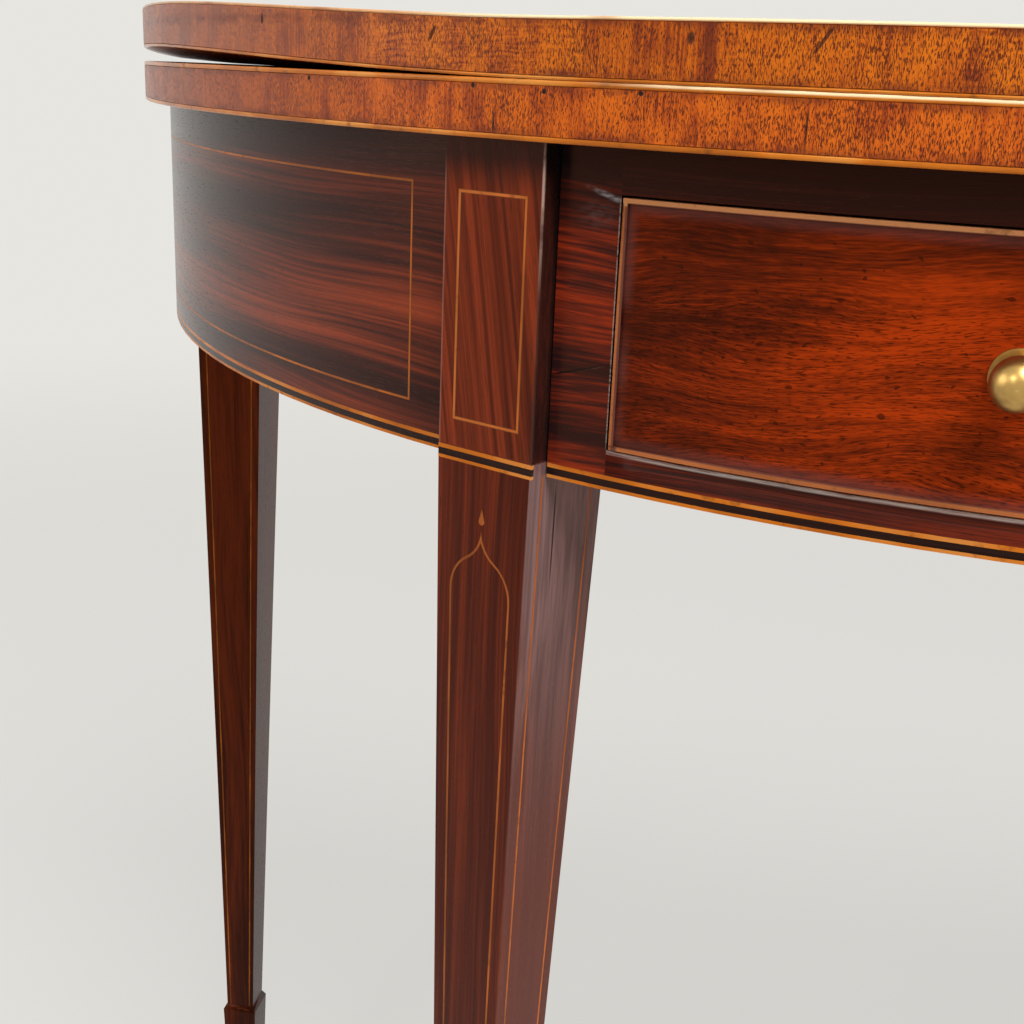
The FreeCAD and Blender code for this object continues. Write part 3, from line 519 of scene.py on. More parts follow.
def front_leg_polish(name, colours, side, shift):
    """Straight-grained leg under a livelier block: a painted highlight on its worn corners, painted shade by the
    frieze, over the block's inner side and under the leaves, and a painted grey sheen and a shake on the inner side."""
    f = Finish(name, POLISH)
    on = along, across, out = turned_leg(f, side)
    block, leaf_shadow = leg_block(f, along), under_leaves(f, along)
    leant = across + block * along * 0.19
    wide, thin, pores = grain(f, (along, leant, out), (0.26, 0.0045), (0.11, 0.0015), (0.006, 0.0004), 0.01, shift)
    tone = f.fade(wide * 0.48 + thin * 0.52 + block * 0.12, 0.395, 0.81)
    inward, outward = (leg_half(f, along) - across * way for way in (-side, side))
    inner_side = f.fade(inward, 0.0006, 0.0002)
    below = inner_side * (1.0 - block)
    cloud = f.noise(on, (0.1, 0.02, 0.02), shift + 15.0, 2.0)
    # Painted grey sheen over the upper part of the inner side below the block, in a grain of its own.
    side_sheen = below * f.fade(along, 0.43, 0.59) * f.fade(cloud, 0.15, 0.5)
    sheen_tones = f.tones(f.fade(wide * 0.4 + thin * 0.6, 0.38, 0.62),
                   ((0.165, 0.094, 0.09), (0.22, 0.129, 0.123), (0.285, 0.162, 0.15)))
    shake = below * f.mark(out, along, (LEG_FACE - 0.0135, BAND_TOP_Z - 0.026), (0.0005, 0.022))
    # Painted shade on the block where it stands level with the frieze and over its inner side.
    recess_shade = f.most(f.fade(out, BOW_RADIUS - 0.0075, BOW_RADIUS - 0.0112), inner_side * 0.85)
    corner, outer = (f.fade(abs(way) + (LEG_FACE - out), start, end)
                     for way, start, end in ((inward, 0.0008, 0.0002), (outward, 0.0009, 0.0003)))
    # Painted highlight along the worn inner front corner, strongest at the top of the block.
    glint = f.fade(f.noise(on, (0.012, 0.01, 0.01), shift + 19.0, 3.0, 0.6), 0.3, 0.55)
    glint = glint * (f.fade(along, 0.65, 0.69) * 0.8 + 0.04)
    dark, light = colours.leg_dark, colours.leg_light
    colour = f.coats(
        f.ramp(tone, dark, light, 0.25, 0.55),
        (pores, shade(dark, 0.4), 0.55),
        (below * f.fade(along, 0.57, 0.45), (0.15, 0.036, 0.022), 0.6),
        (side_sheen, sheen_tones, 0.85),
        # A real shake, and painted shade in the recess beside the frieze.
        (f.most(shake, block * recess_shade * 0.9), CRACK_AND_RECESS_SHADE),
        # Painted shadow under the leaves.
        (leaf_shadow, LEAF_SHADOW, 0.9),
        (corner * glint, (0.52, 0.34, 0.27)),
        # A weaker painted highlight along the block's outer front corner, kept out of the painted shadow.
        (outer * block * (1.0 - leaf_shadow), (0.3, 0.13, 0.1), 0.6))
    rough = wide * 0.1 + pores * 0.1 + side_sheen * 0.12 + 0.17
    return f.finish(colour, rough, thin * 0.35 - pores * 0.6 - shake * 2.0)


def bow_polish(name, dark, light, broad, streak, wander, shift, fine=0.54, glow=0.0, glows=FRIEZE_GLOWS, lift=0.0,
               edge=None, cracks=(), smear_glints=()):
    """Long-grained veneer round the bow, with a painted shadow under the leaves. Fine is the share of narrow streaks in
    its figure, glow lights it about the heights in glows, lift lights the whole, and edge tells where a worn arris gets
    a painted highlight. It can also carry pale patches of polish with painted highlights on them."""
    f = Finish(name, POLISH)
    on = run, height, radius = f.round_bow()
    wide, thin, pores = grain(f, on, broad, streak, (0.008, 0.0004), wander, shift)
    glowing = f.most(*(f.near(height, place, reach, 0.24 * reach) * strength
                       for place, reach, strength in glows))
    tone = f.fade(wide * (1.0 - fine) + thin * fine + glowing * glow + lift, 0.4, 0.72)
    relief = thin * 0.35 - pores * 0.6
    marks = [(pores, shade(dark, 0.4), 0.5)]
    # Pale patches of polish, each with a painted highlight.
    for place, size, turn, strength in smear_glints:
        blotch = f.noise(on, (0.004, 0.0016, 0.1), shift + 29.0, 3.0, 0.6)
        smear_glint = f.mark(run, height, place, size, turn, 0.0) * f.fade(blotch, 0.3, 0.7)
        marks.append((smear_glint, (0.4, 0.37, 0.375), strength))
    # Painted shadow under the leaves.
    marks.append((under_leaves(f, height), LEAF_SHADOW, 0.9))
    if edge is not None:
        # Painted highlight along a worn arris, broken by noise.
        glint = f.fade(f.noise(on, (0.02, 0.0008, 0.1), shift + 19.0, 3.0, 0.6), 0.25, 0.6)
        front = edge(f) * f.fade(radius, RAIL_FRONT - 0.0008, RAIL_FRONT + 0.0002)
        marks.append((front * glint, (0.54, 0.47, 0.42), 0.85))
    for crack in cracks:
        split = f.mark(run, height, *crack)
        marks.append((split, (0.006, 0.005, 0.005)))
        relief = relief - split * 3.0
    colour = f.coats(f.ramp(tone, dark, light, 0.16, 0.46), *marks)
    return f.finish(colour, wide * 0.1 + pores * 0.1 + 0.17, relief)


def foot_glint(f):
    """1 at the arris under the drawer, where a painted highlight lies."""
    return f.near(f.place()[2], OPENING_LOW_Z, 0.0015, 0.0007)


def side_glint(f):
    """A faint painted highlight along the worn arrises beside the drawer."""
    x, y, z = f.place()
    beside = f.fade(z, OPENING_LOW_Z - 0.001, OPENING_LOW_Z + 0.004) * f.fade(z, OPENING_TOP_Z + 0.0025, OPENING_TOP_Z)
    return f.near(abs(x), OPENING_HALF, 0.0005, 0.0001) * beside * 0.6


def line_wear(f, place, shift):
    """How faded and how dirty an old line is."""
    fade = f.noise(place, (0.03,) * 3, shift, 2.0)
    return fade, f.fade(f.noise(place, (0.006,) * 3, shift + 3.0, 3.0, 0.6), 0.58, 0.74)


def line_finish(f, colour, fade, dirt, roughness=0.2):
    return f.finish(colour, fade * 0.2 + dirt * 0.2 + roughness, dirt, LINE_RELIEF)


def stringing(name, colour, worn, shift, roughness=0.2, crept=None, glint=None, polish=LINE_POLISH):
    """A let-in line of stained boxwood, unevenly faded, with dirt along it. Crept tells where dirt hides it, and the
    mask given after crept where a painted highlight lies along it."""
    f = Finish(name, polish)
    fade, dirt = line_wear(f, f.place(), shift)
    marks = [(dirt, between(colour, STAIN_DIRT, 0.75), 0.6)]
    if glint is not None:
        # Painted highlight along the arris.
        marks.append((glint(f) * f.fade(fade, 0.25, 0.45), (0.9, 0.7, 0.42)))
    if crept is not None:
        marks.append((crept(f), between(colour, STAIN_DIRT, 0.85), 0.9))
    tinted = f.tones(f.fade(fade, 0.3, 0.7), (between(colour, STAIN_DARK, 0.35), colour, worn))
    return line_finish(f, f.coats(tinted, *marks), fade, dirt, roughness)


def crept_panel(f):
    """Dirt over the line round a side of the frieze."""
    low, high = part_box("left_panel_line")
    run, height, radius = f.round_bow()
    return f.crept(abs(run), height, (PANEL_RUN[0], low.z), (PANEL_RUN[1], high.z), PANEL_STRING, PANEL_BARE)


def crept_block(side):
    """Dirt over the line round the block of a front leg, and less of it over the lines down the leg's front."""
    def crept(f):
        along, across, out = turned_leg(f, side)
        block = leg_block(f, along)
        front = f.fade(leg_half(f, along) - abs(across), 0.0004, 0.0012)
        inward = f.fade(across * -side, -0.004, 0.004)
        dulled = front * (inward * -0.25 - block * 0.35 + 0.6)
        dirt = f.crept(across, along, BLOCK_LOW, BLOCK_HIGH, BLOCK_STRING, BLOCK_BARE)
        return f.most(dirt * block, dulled)
    return crept


def arris_glint(top, front, least):
    """The upper arris of a leaf, whose height is given: a painted highlight about the front, with the least share of it
    left at the ends.
    """
    def glint(f):
        run, height, radius = f.round_bow()
        facing = f.fade(abs(run), front, front - 0.05)
        return f.fade(height, top - 0.0011, top - 0.0006) * (facing * (1.0 - least) + least)
    return glint


def bead_polish(name, bead):
    """Worn cockbeads: bleached along the top, dark and hazy down the sides."""
    f = Finish(name, LINE_POLISH)
    place = x, y, z = f.place()
    low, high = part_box("drawer_cockbeads")
    fade, dirt = line_wear(f, place, 23.0)
    top = f.fade(z, high.z - 0.0028, high.z - 0.0018)
    inset = high.x - abs(x)
    level = f.least(z - low.z, high.z - z)
    side = (1.0 - top) * f.fade(inset, 0.003, 0.002)
    hazed = f.most(side * f.fade(inset, 0.0006, 0.001), f.fade(f.least(inset, level), 0.0011, 0.0015))
    colour = f.coats(
        f.tones(f.fade(fade, 0.3, 0.7), (between(bead, STAIN_DARK, 0.35), bead)),
        (side, (0.15, 0.042, 0.014), 0.3),
        (top, (0.62, 0.27, 0.11), 0.75),
        (hazed, (0.1, 0.036, 0.03), 0.85),
        (dirt, (0.06, 0.022, 0.014), 0.5))
    return line_finish(f, colour, fade, dirt)


def bare_wood(name, dark, light, course_of, pore, shift):
    """Old unpolished wood with dust and stains."""
    f = Finish(name, BARE)
    course = course_of(f)
    wide, thin, pores = grain(f, course, (0.3, 0.012), (0.1, 0.0016), pore, 0.02, shift)
    stained = f.noise(course, (0.12, 0.06, 0.06), shift + 5.0, 3.0, 0.6)
    colour = f.coats(
        f.ramp(f.fade(wide * 0.5 + thin * 0.5, 0.3, 0.7), dark, light, 0.5),
        (f.fade(stained, 0.5, 0.75), between(dark, (0.02, 0.012, 0.008), 0.5), 0.55),
        (pores, dark, 0.5))
    return f.finish(colour, wide * 0.15 + 0.62, thin * 0.5 - pores * 0.6, 3 * RELIEF)


def old_metal(name, bright, tarnish, roughness, shift):
    """Metal that handling has kept bright in places and left tarnished in others."""
    f = Finish(name, {"Metallic": 1.0})
    place = f.place()
    cloud = f.noise(place, (0.012,) * 3, shift, 3.0, 0.6)
    scratch = f.noise(place, (0.02, 0.0006, 0.0006), shift + 4.0, 2.0, 0.6)
    colour = f.mix(f.fade(cloud, 0.42, 0.75), bright, tarnish)
    return f.finish(colour, cloud * 0.25 + scratch * 0.1 + roughness, scratch, RELIEF / 2)


def shown(finish, *nodes):
    """Puts a finish on pieces that keep their own shape."""
    for node in nodes:
        for slot in NODES[node].material_slots:
            slot.material = finish


def placed(name, data):
    """A new piece in the scene."""
    piece = bpy.data.objects.new(name, data)
    bpy.context.scene.collection.objects.link(piece)
    return piece


def meshed(name, shape):
    """The mesh of a shape that is then let go."""
    mesh = bpy.data.meshes.new(name)
    shape.to_mesh(mesh)
    shape.free()
    return mesh


def settled(piece):
    """Gives a piece the mesh that its modifiers make, and takes them off."""
    piece.data = bpy.data.meshes.new_from_object(piece.evaluated_get(bpy.context.evaluated_depsgraph_get()))
    piece.modifiers.clear()


def stands_for(piece, node):
    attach(piece, BODY_OF[node])
    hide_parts(node)


def eased(node, finish, width, pick):
    """A copy of a piece with the chosen arrises worn round, standing for that piece."""
    shape = bmesh.new()
    shape.from_mesh(NODES[node].data)
    bmesh.ops.remove_doubles(shape, verts=shape.verts, dist=SAME_POINT)
    bmesh.ops.dissolve_limit(shape, angle_limit=FLAT, verts=shape.verts, edges=shape.edges)
    arrises = [edge for edge in shape.edges
               if edge.is_manifold and edge.calc_face_angle_signed() > ARRIS and pick(edge)]
    if not arrises:
        raise ValueError(f"{node} has no arris to ease")
    bmesh.ops.bevel(shape, geom=arrises, offset=width, segments=3, profile=0.5, affect="EDGES", clamp_overlap=True)
    mesh = meshed(f"{node}_eased", shape)
    mesh.shade_smooth()
    mesh.set_sharp_from_angle(angle=SHARP)
    mesh.materials.append(finish)
    piece = placed(f"{node}_eased", mesh)
    piece.modifiers.new("flats", "WEIGHTED_NORMAL").keep_sharp = True
    settled(piece)
    stands_for(piece, node)


def front_of(reach, low=0.0):
    """Picks the arrises that are further out from the bow's centre, and higher, than is given."""
    def pick(edge):
        ends = [vertex.co - Vector((0.0, BOW_CENTRE_Y, 0.0)) for vertex in edge.verts]
        return all(end.xy.length > reach and end.z > low for end in ends)
    return pick


def long_upright(edge):
    """True for a tall corner of a leg."""
    low, high = sorted(vertex.co.z for vertex in edge.verts)
    return high - low > TALL


class ScrewRows(Nodes):
    """Node tree that lets two rows of slotted screws into a pair of hinge flaps."""

    INPUTS = {"Flaps": "Geometry", "Hinge Distance": "Float", "Row Height": "Float", "Row Spacing": "Float",
              "Screw Count": "Int", "Head Diameter": "Float", "Slot Width": "Float", "Seed": "Int",
              "Material": "Material"}

    def __init__(self):
        super().__init__(bpy.data.node_groups.new("hinge_screws", "GeometryNodeTree"))
        for name, kind in self.INPUTS.items():
            self.tree.interface.new_socket(name=name, in_out="INPUT", socket_type=f"NodeSocket{kind}")
        self.tree.interface.new_socket(name="Flaps", in_out="OUTPUT", socket_type="NodeSocketGeometry")
        self.given = {socket.name: Value(self, socket) for socket in self.node("NodeGroupInput").outputs}
        self.build()

    def together(self, *parts):
        made = self.node("GeometryNodeJoinGeometry")
        for part in parts:
            self.put(made.inputs[0], part)
        return Value(self, made.outputs[0])

    def row(self, side):
        """Points of one flap's screws, spaced about the middle of the hinge."""
        count, spacing = self.given["Screw Count"], self.given["Row Spacing"]
        start = self.given["Hinge Distance"] * side - (count - 1.0) * spacing * 0.5
        place = self.out("ShaderNodeCombineXYZ", (start, BACK_Y, self.given["Row Height"]))
        step = self.out("ShaderNodeCombineXYZ", (spacing,))
        return self.out("GeometryNodeMeshLine", {"Count": count, "Start Location": place, "Offset": step})

    def plug(self, radius, depth, shift):
        """A cylinder that lies along the depth of the table."""
        made = self.out("GeometryNodeMeshCylinder", {"Vertices": 32, "Radius": radius, "Depth": depth})
        return self.out("GeometryNodeTransform", {"Geometry": made, "Translation": (0.0, shift, 0.0),
                                                  "Rotation": (radians(90.0), 0.0, 0.0)})

    def without(self, whole, hollow):
        return self.out("GeometryNodeMeshBoolean", (whole, hollow), operation="DIFFERENCE")

    def real(self, parts):
        return self.out("GeometryNodeRealizeInstances", {"Geometry": parts})

    def build(self):
        rows = self.together(self.row(-1.0), self.row(1.0))
        radius = self.given["Head Diameter"] * 0.5
        sink = self.plug(radius, 2 * SCREW_SINK, 0.0)
        sinks = self.real(self.out("GeometryNodeInstanceOnPoints", {"Points": rows, "Instance": sink}))
        cut = self.without(self.given["Flaps"], sinks)
        head = self.plug(radius - SCREW_PLAY, SCREW_SINK, -SCREW_SINK / 2)
        slot = self.out("ShaderNodeCombineXYZ", (radius * 3.0, SCREW_SINK, self.given["Slot Width"]))
        slotted = self.without(head, self.out("GeometryNodeMeshCube", {"Size": slot}))
        half_turn = {3: radians(180.0), "Seed": self.given["Seed"]}
        turn = self.out("FunctionNodeRandomValue", half_turn, 1, data_type="FLOAT")
        turned = self.out("FunctionNodeEulerToRotation", (self.out("ShaderNodeCombineXYZ", {"Y": turn}),))
        heads = self.out("GeometryNodeInstanceOnPoints", {"Points": rows, "Instance": slotted, "Rotation": turned})
        whole = self.out("GeometryNodeSetMaterial", {"Geometry": self.real(self.together(cut, heads)),
                                                     "Material": self.given["Material"]})
        self.node("NodeGroupOutput", (whole,))

    def screwed(self, node, finish, values):
        """A copy of a pair of flaps with its screws, standing for that pair."""
        piece = placed(f"{node}_screwed", NODES[node].data.copy())
        rows = piece.modifiers.new("screws", "NODES")
        rows.node_group = self.tree
        given = {**values, "Material": finish}
        for socket in self.tree.interface.items_tree:
            if socket.in_out == "INPUT" and socket.name in given:
                rows[socket.identifier] = given[socket.name]
        settled(piece)
        piece.data.attributes.remove(piece.data.attributes["custom_normal"])
        piece.data.set_sharp_from_angle(angle=SHARP)
        stands_for(piece, node)


def edge_marks(*rows):
    """Marks on the leaves' edges: degrees along the rim, height over the leaves' joint, half size, and turn if any."""
    return [((angle * DEGREE, JOINT_Z + rise), *rest) for angle, rise, *rest in rows]


def chosen(context):
    """The sizes and colours that the user has set."""
    return context.scene.table_sizes, context.scene.table_colours


class TABLE_OT_leaves(bpy.types.Operator):
    """Finish both leaves, their crossbanded edges and their boxwood arrises"""
    bl_idname = "table.leaves"
    bl_label = "Finish the leaves"

    def execute(self, context):
        sizes, colours = chosen(context)
        hole = (0.001, 0.0009)
        holes = edge_marks((-38.98, -0.0028, hole), (-29.85, -0.0025, hole), (-26.79, -0.0033, hole),
                           (-23.12, -0.0026, hole))
        cracks = edge_marks((-28.9, -0.0128, (0.0042, 0.0005), 90.0), (-17.6, -0.0095, (0.007, 0.0004), 90.0))
        dents = edge_marks((-31.86, 0.012, (0.0034, 0.0009), 55.0), (-21.52, 0.0122, (0.0014, 0.0022)),
                           (-17.35, 0.0123, (0.0054, 0.0006), 55.0))
        chips = edge_marks((-42.56, 0.016, (0.0008, 0.0022)))
        shown(leaf_face("lower_leaf_face", colours, sizes, 2.0), "lower_leaf")
        shown(leaf_face("upper_leaf_face", colours, sizes, 5.0), "upper_leaf")
        dark, light = colours.band_dark, colours.band_light
        low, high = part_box("lower_leaf_edge_band")
        lower = crossband("lower_crossband", dark, scaled(light, 1.03, 0.9, 1.1), sizes.section_width, (0.2, 0.6),
                          0.15, (0.22, 0.07, 0.046), (low.z, high.z), 3.3, holes, cracks)
        shown(lower, "lower_leaf_edge_band")
        upper = crossband("upper_crossband", dark, light, sizes.section_width, (0.25, 0.66), 0.36,
                          (0.4, 0.14, 0.084), (JOINT_Z + LINE_HEIGHT, TOP_Z - LINE_HEIGHT), 8.7, chips, dents)
        shown(upper, "upper_leaf_edge_band")
        box = colours.boxwood
        worn = between(box, (0.9, 0.42, 0.1), 0.4)
        # Painted highlights along both leaves' upper arrises, about the front.
        for side, glint in (("lower", arris_glint(JOINT_Z, 0.228, 0.0)), ("upper", arris_glint(TOP_Z, 0.3, 0.3))):
            line = stringing(f"{side}_arris_boxwood", box, worn, 4.0, 0.08, glint=glint, polish=ARRIS_POLISH)
            eased(f"{side}_leaf_edge_lines", line, sizes.arris_ease, front_of(BOW_RADIUS - NARROW))
        return {"FINISHED"}


class TABLE_OT_frieze(bpy.types.Operator):
    """Finish the bowed frieze, its stringing and the band round its foot"""
    bl_idname = "table.frieze"
    bl_label = "Finish the frieze"

    def execute(self, context):
        sizes, colours = chosen(context)
        dark, light = colours.frieze_dark, colours.frieze_light
        lively = scaled(light, 1.15, 0.72, 0.5)
        crack = ((-48.9 * DEGREE, 0.6062), (0.0004, 0.0032), 0.0)
        for side, shift in (("left", 1.0), ("right", 6.0)):
            veneer = bow_polish(f"{side}_frieze_veneer_polish", dark, light, (0.3, 0.017), (0.12, 0.0014), 0.014,
                                shift, fine=0.38, glow=0.1, lift=-0.025, cracks=[crack])
            shown(veneer, f"{side}_frieze_veneer")
        rail = (0.3, 0.008), (0.1, 0.0013), 0.008, 9.0
        shown(bow_polish("drawer_top_rail_polish", dark, light, *rail, lift=-0.05), "drawer_top_rail")
        foot = bow_polish("drawer_foot_rail_polish", dark, lively, *rail, lift=0.05, edge=foot_glint)
        eased("drawer_bottom_rail", foot, sizes.bead_ease,
              front_of(RAIL_FRONT, OPENING_LOW_Z - NARROW))
        stile = bow_polish("drawer_stile_polish", dark, lively, (0.08, 0.01), (0.04, 0.0014), 0.016, 12.0,
                           glow=0.1, glows=STILE_GLOWS, lift=-0.015, edge=side_glint,
                           cracks=[((-25.75 * DEGREE, 0.6345), (0.0125, 0.0005), 15.6)],
                           # A painted highlight along a pale streak of polish by the drawer, and a faint pale haze
                           # below it.
                           smear_glints=[((-24.9 * DEGREE, 0.688), (0.0095, 0.0013), -16.0, 1.0),
                                   ((-25.2 * DEGREE, 0.682), (0.01, 0.0065), 0.0, 0.08)])
        shown(stile, "left_drawer_stile", "right_drawer_stile")
        box, black = colours.boxwood, colours.ebony
        faint, worn = between(box, (0.2, 0.06, 0.026), 0.45), between(box, (0.8, 0.4, 0.12), 0.3)
        panel = stringing("panel_boxwood", faint, box, 14.0, crept=crept_panel)
        shown(panel, "left_panel_line", "right_panel_line")
        shown(stringing("band_boxwood", box, worn, 17.0), "base_band_boxwood")
        ebony = polished("ebony_polish", Finish.round_bow, shade(black, 0.5), between(black, light, 0.02),
                         (0.2, 0.004), (0.05, 0.001), (0.004, 0.0003), 0.002, 15.0)
        shown(ebony, "base_band_ebony")
        return {"FINISHED"}


class TABLE_OT_front_legs(bpy.types.Operator):
    """Finish the front legs and their inlaid lines, with worn corners"""
    bl_idname = "table.front_legs"
    bl_label = "Finish the front legs"

    def execute(self, context):
        sizes, colours = chosen(context)
        dull, bright = (0.45, 0.116, 0.022), (0.62, 0.164, 0.034)
        for side, turn, shift in (("left", -1.0, 2.0), ("right", 1.0, 7.0)):
            leg = front_leg_polish(f"{side}_front_leg_polish", colours, turn, shift)
            eased(f"{side}_front_leg", leg, sizes.leg_ease, long_upright)
            line = stringing(f"{side}_leg_boxwood", dull, bright, 18.0 + shift, crept=crept_block(turn))
            shown(line, f"{side}_front_leg_lines")
        return {"FINISHED"}


class TABLE_OT_gates(bpy.types.Operator):
    """Finish the rear legs on their swinging rails, the fixed hinge rail and the pins"""
    bl_idname = "table.gates"
    bl_label = "Finish the gates"

    def execute(self, context):
        sizes, colours = chosen(context)
        box = colours.boxwood
        faint, worn = between(box, (0.1, 0.03, 0.01), 0.75), between(box, (0.2, 0.06, 0.02), 0.5)
        line = stringing("rear_leg_boxwood", faint, worn, 20.0)
        beech = bare_wood("old_beech", (0.15, 0.075, 0.034), (0.36, 0.2, 0.1), LENGTHWAYS, (0.002, 0.0004), 3.0)
        dark, light = shade(colours.leg_dark, 0.6), shade(colours.leg_light, 0.62)
        for side, shift in (("left", 4.0), ("right", 9.0)):
            leg = polished(f"{side}_rear_leg_polish", UPRIGHT, dark, light, (0.35, 0.012), (0.12, 0.002),
                           (0.006, 0.0004), 0.012, shift)
            eased(f"{side}_rear_leg", leg, sizes.leg_ease, long_upright)
            shown(line, f"{side}_rear_leg_lines")
        shown(beech, "left_fly_rail", "right_fly_rail", "gate_hinge_rail")
        shown(old_metal("dark_iron", (0.2, 0.19, 0.18), (0.06, 0.045, 0.035), 0.35, 2.0), "gate_pins")
        return {"FINISHED"}


class TABLE_OT_carcase(bpy.types.Operator):
    """Finish the unpolished wood inside the frame"""
    bl_idname = "table.carcase"
    bl_label = "Finish the carcase"

    def execute(self, context):
        pine = bare_wood("old_pine", (0.17, 0.085, 0.036), (0.42, 0.26, 0.13), LENGTHWAYS, (0.004, 0.0003), 5.0)
        oak = bare_wood("old_oak", (0.14, 0.078, 0.036), (0.38, 0.25, 0.13), FORE_AND_AFT, (0.008, 0.0006), 8.0)
        shown(pine, "left_frieze_rail", "right_frieze_rail", "back_rail", "glue_blocks")
        for side in ("left", "right"):
            shown(oak, f"{side}_drawer_runner", f"{side}_drawer_guide", f"{side}_drawer_kicker")
        shown(oak, "drawer_stops")
        return {"FINISHED"}


class TABLE_OT_drawer(bpy.types.Operator):
    """Finish the drawer, its cockbeads and its knobs"""
    bl_idname = "table.drawer"
    bl_label = "Finish the drawer"

    def execute(self, context):
        sizes, colours = chosen(context)
        shown(drawer_veneer("drawer_front_polish", colours), "drawer_front")
        beads = bead_polish("cockbead_polish", colours.cockbead)
        eased("drawer_cockbeads", beads, sizes.bead_ease, front_of(BEAD_FRONT))
        oak = (0.19, 0.092, 0.036), (0.46, 0.275, 0.125)
        along = bare_wood("drawer_side_oak", *oak, FORE_AND_AFT, (0.008, 0.0006), 11.0)
        shown(along, "left_drawer_side", "right_drawer_side")
        across = bare_wood("drawer_back_oak", *oak, LENGTHWAYS, (0.008, 0.0006), 13.0)
        shown(across, "drawer_back", "drawer_bottom")
        brass = old_metal("knob_brass", colours.brass, (0.2, 0.11, 0.035), 0.16, 6.0)
        shown(brass, "drawer_knobs", "drawer_knob_nuts")
        return {"FINISHED"}


class TABLE_OT_hinges(bpy.types.Operator):
    """Finish the brass hinges of the folding leaf"""
    bl_idname = "table.hinges"
    bl_label = "Finish the hinges"

    def execute(self, context):
        sizes, colours = chosen(context)
        brass = old_metal("hinge_brass", colours.brass, (0.17, 0.09, 0.03), 0.22, 1.0)
        shown(brass, "leaf_hinge_pins")
        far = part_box("leaf_hinge_lower_flaps")[1].x
        rows = ScrewRows()
        for node, side, seed in (("leaf_hinge_lower_flaps", -1.0, 3), ("leaf_hinge_upper_flaps", 1.0, 8)):
            rows.screwed(node, brass, {
                "Hinge Distance": far - sizes.hinge_length / 2, "Row Height": JOINT_Z + side * sizes.screw_row,
                "Row Spacing": sizes.screw_spacing, "Screw Count": sizes.screw_count,
                "Head Diameter": sizes.screw_head, "Slot Width": sizes.screw_slot, "Seed": seed})
        return {"FINISHED"}


# The photo's camera: where it stands, and how far it is turned, dipped and leant.
CAMERA_PLACE = (-0.1606, -0.5766, 0.721)
CAMERA_TURN = radians(-9.47)
CAMERA_DIP = radians(17.47)
CAMERA_LEAN = radians(2.38)
CAMERA_LENS = 49.02
SENSOR_WIDTH = 36.0
NEAREST = 0.02
FLOOR_RADIUS = 14.0

# Lamps by name: where each stands, what it aims at, and its diameter.
LAMPS = {
    "key": ((0.55, -1.25, 2.6), (-0.1, -0.1, 0.62), 1.3),
    "fill": ((-2.4, -0.6, 1.3), (-0.2, 0.0, 0.55), 1.4),
    "edge": ((-1.15, -1.6, 1.75), (-0.1, -0.15, 0.7), 0.6),
}


def camera_matrix():
    turned, dipped, leant = (Matrix.Rotation(angle, 4, axis) for angle, axis in (
        (-CAMERA_TURN, "Z"), (radians(90.0) - CAMERA_DIP, "X"), (CAMERA_LEAN, "Z")))
    return Matrix.Translation(CAMERA_PLACE) @ turned @ dipped @ leant


def area_lamp(name, place, aim, size, energy):
    lamp = bpy.data.lights.new(name, "AREA")
    lamp.shape = "DISK"
    lamp.size = size
    lamp.energy = energy
    holder = placed(name, lamp)
    holder.location = place
    holder.rotation_euler = (Vector(aim) - Vector(place)).to_track_quat("-Z", "Y").to_euler()


def pale_floor(pale):
    """A wide round floor that takes the table's shadow and passes into the background far from it."""
    shape = bmesh.new()
    bmesh.ops.create_circle(shape, cap_ends=True, segments=96, radius=FLOOR_RADIUS)
    floor = placed("floor", meshed("floor", shape))
    f = Finish("pale_floor", {"Roughness": 0.9, "Specular IOR Level": 0.0})
    x, y, z = f.place()
    speckle = f.noise((x, y, z), (0.3,) * 3, 0.0, 2.0)
    f.put(f.shader.inputs["Base Color"], f.mix(speckle, pale, shade(pale, 0.03)))
    glow = f.out("ShaderNodeEmission", ((*pale, 1.0), 1.0))
    paler = f.seen() * (0.72 + f.fade(f.reach(x, y), 1.2, 3.5) * 0.28)
    f.show("Material Output", f.out("ShaderNodeMixShader", (paler, Value(f, f.shader.outputs[0]), glow)))
    floor.data.materials.append(f.material)


def studio_world(pale, room_light):
    """Soft light from all round, dimmer from the front, behind a plain pale ground."""
    world = bpy.data.worlds.new("studio")
    world.use_nodes = True
    sky = Nodes(world.node_tree)
    ground = sky.tree.nodes["Background"]
    ground.inputs["Color"].default_value = (*pale, 1.0)
    backward = sky.split(sky.out("ShaderNodeTexCoord", output="Generated"))[1]
    light = sky.node("ShaderNodeValToRGB", (sky.out("ShaderNodeMapRange", (backward, -1.0)),))
    front, back = light.color_ramp.elements
    front.position, front.color = 0.25, (0.35, 0.34, 0.33, 1.0)
    back.position, back.color = 0.75, (1.0, 1.0, 1.0, 1.0)
    room = sky.out("ShaderNodeBackground", {"Color": Value(sky, light.outputs[0]), "Strength": room_light})
    sky.show("World Output", sky.out("ShaderNodeMixShader", (sky.seen(), room, Value(sky, ground.outputs[0]))))
    bpy.context.scene.world = world


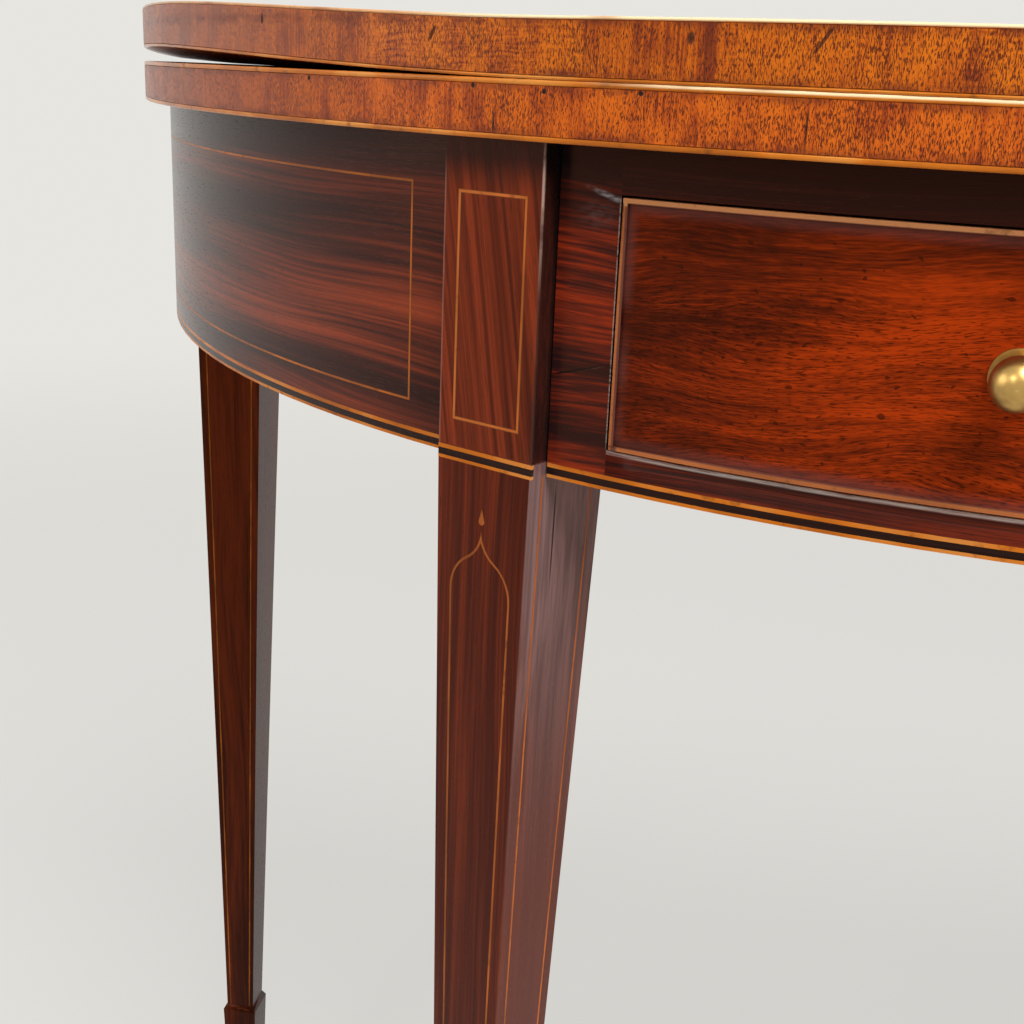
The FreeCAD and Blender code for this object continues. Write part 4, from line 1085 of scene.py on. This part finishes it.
class TABLE_OT_studio(bpy.types.Operator):
    """Set the floor, the light and the camera"""
    bl_idname = "table.studio"
    bl_label = "Set the studio"

    def execute(self, context):
        scene = context.scene
        pale, light = scene.table_colours.pale, scene.table_studio
        scene.view_settings.view_transform = "Standard"
        pale_floor(pale)
        studio_world(pale, light.room_light)
        for (name, lamp), energy in zip(LAMPS.items(), (light.key_power, light.fill_power, light.edge_power)):
            area_lamp(f"{name}_lamp", *lamp, energy)
        camera = placed("photo_camera", bpy.data.cameras.new("photo_camera"))
        camera.data.lens = CAMERA_LENS
        camera.data.sensor_width = SENSOR_WIDTH
        camera.data.clip_start = NEAREST
        camera.matrix_world = camera_matrix()
        scene.camera = camera
        return {"FINISHED"}


OPERATORS = (TABLE_OT_leaves, TABLE_OT_frieze, TABLE_OT_front_legs, TABLE_OT_gates, TABLE_OT_carcase,
             TABLE_OT_drawer, TABLE_OT_hinges, TABLE_OT_studio)


class TABLE_PT_finish(bpy.types.Panel):
    """Lists the table's finishing steps with their sizes and colours"""
    bl_idname = "TABLE_PT_finish"
    bl_label = "Half-round table"
    bl_space_type = "VIEW_3D"
    bl_region_type = "UI"
    bl_category = "Table"

    def draw(self, context):
        for group in (context.scene.table_sizes, context.scene.table_colours, context.scene.table_studio):
            box = self.layout.box()
            for name in group.__annotations__:
                box.prop(group, name)
        for step in OPERATORS:
            self.layout.operator(step.bl_idname)


GROUPS = {"table_sizes": TableSizes, "table_colours": TableColours, "table_studio": TableStudio}
CLASSES = (*GROUPS.values(), *OPERATORS, TABLE_PT_finish)


def register():
    for made in CLASSES:
        bpy.utils.register_class(made)
    for name, group in GROUPS.items():
        setattr(bpy.types.Scene, name, bpy.props.PointerProperty(type=group))


def unregister():
    for name in GROUPS:
        delattr(bpy.types.Scene, name)
    for made in reversed(CLASSES):
        bpy.utils.unregister_class(made)


def main():
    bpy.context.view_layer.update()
    register()
    bpy.ops.table.leaves()
    bpy.ops.table.frieze()
    bpy.ops.table.front_legs()
    bpy.ops.table.gates()
    bpy.ops.table.carcase()
    bpy.ops.table.drawer()
    bpy.ops.table.hinges()
    bpy.ops.table.studio()


if __name__ == "__main__":
    main()
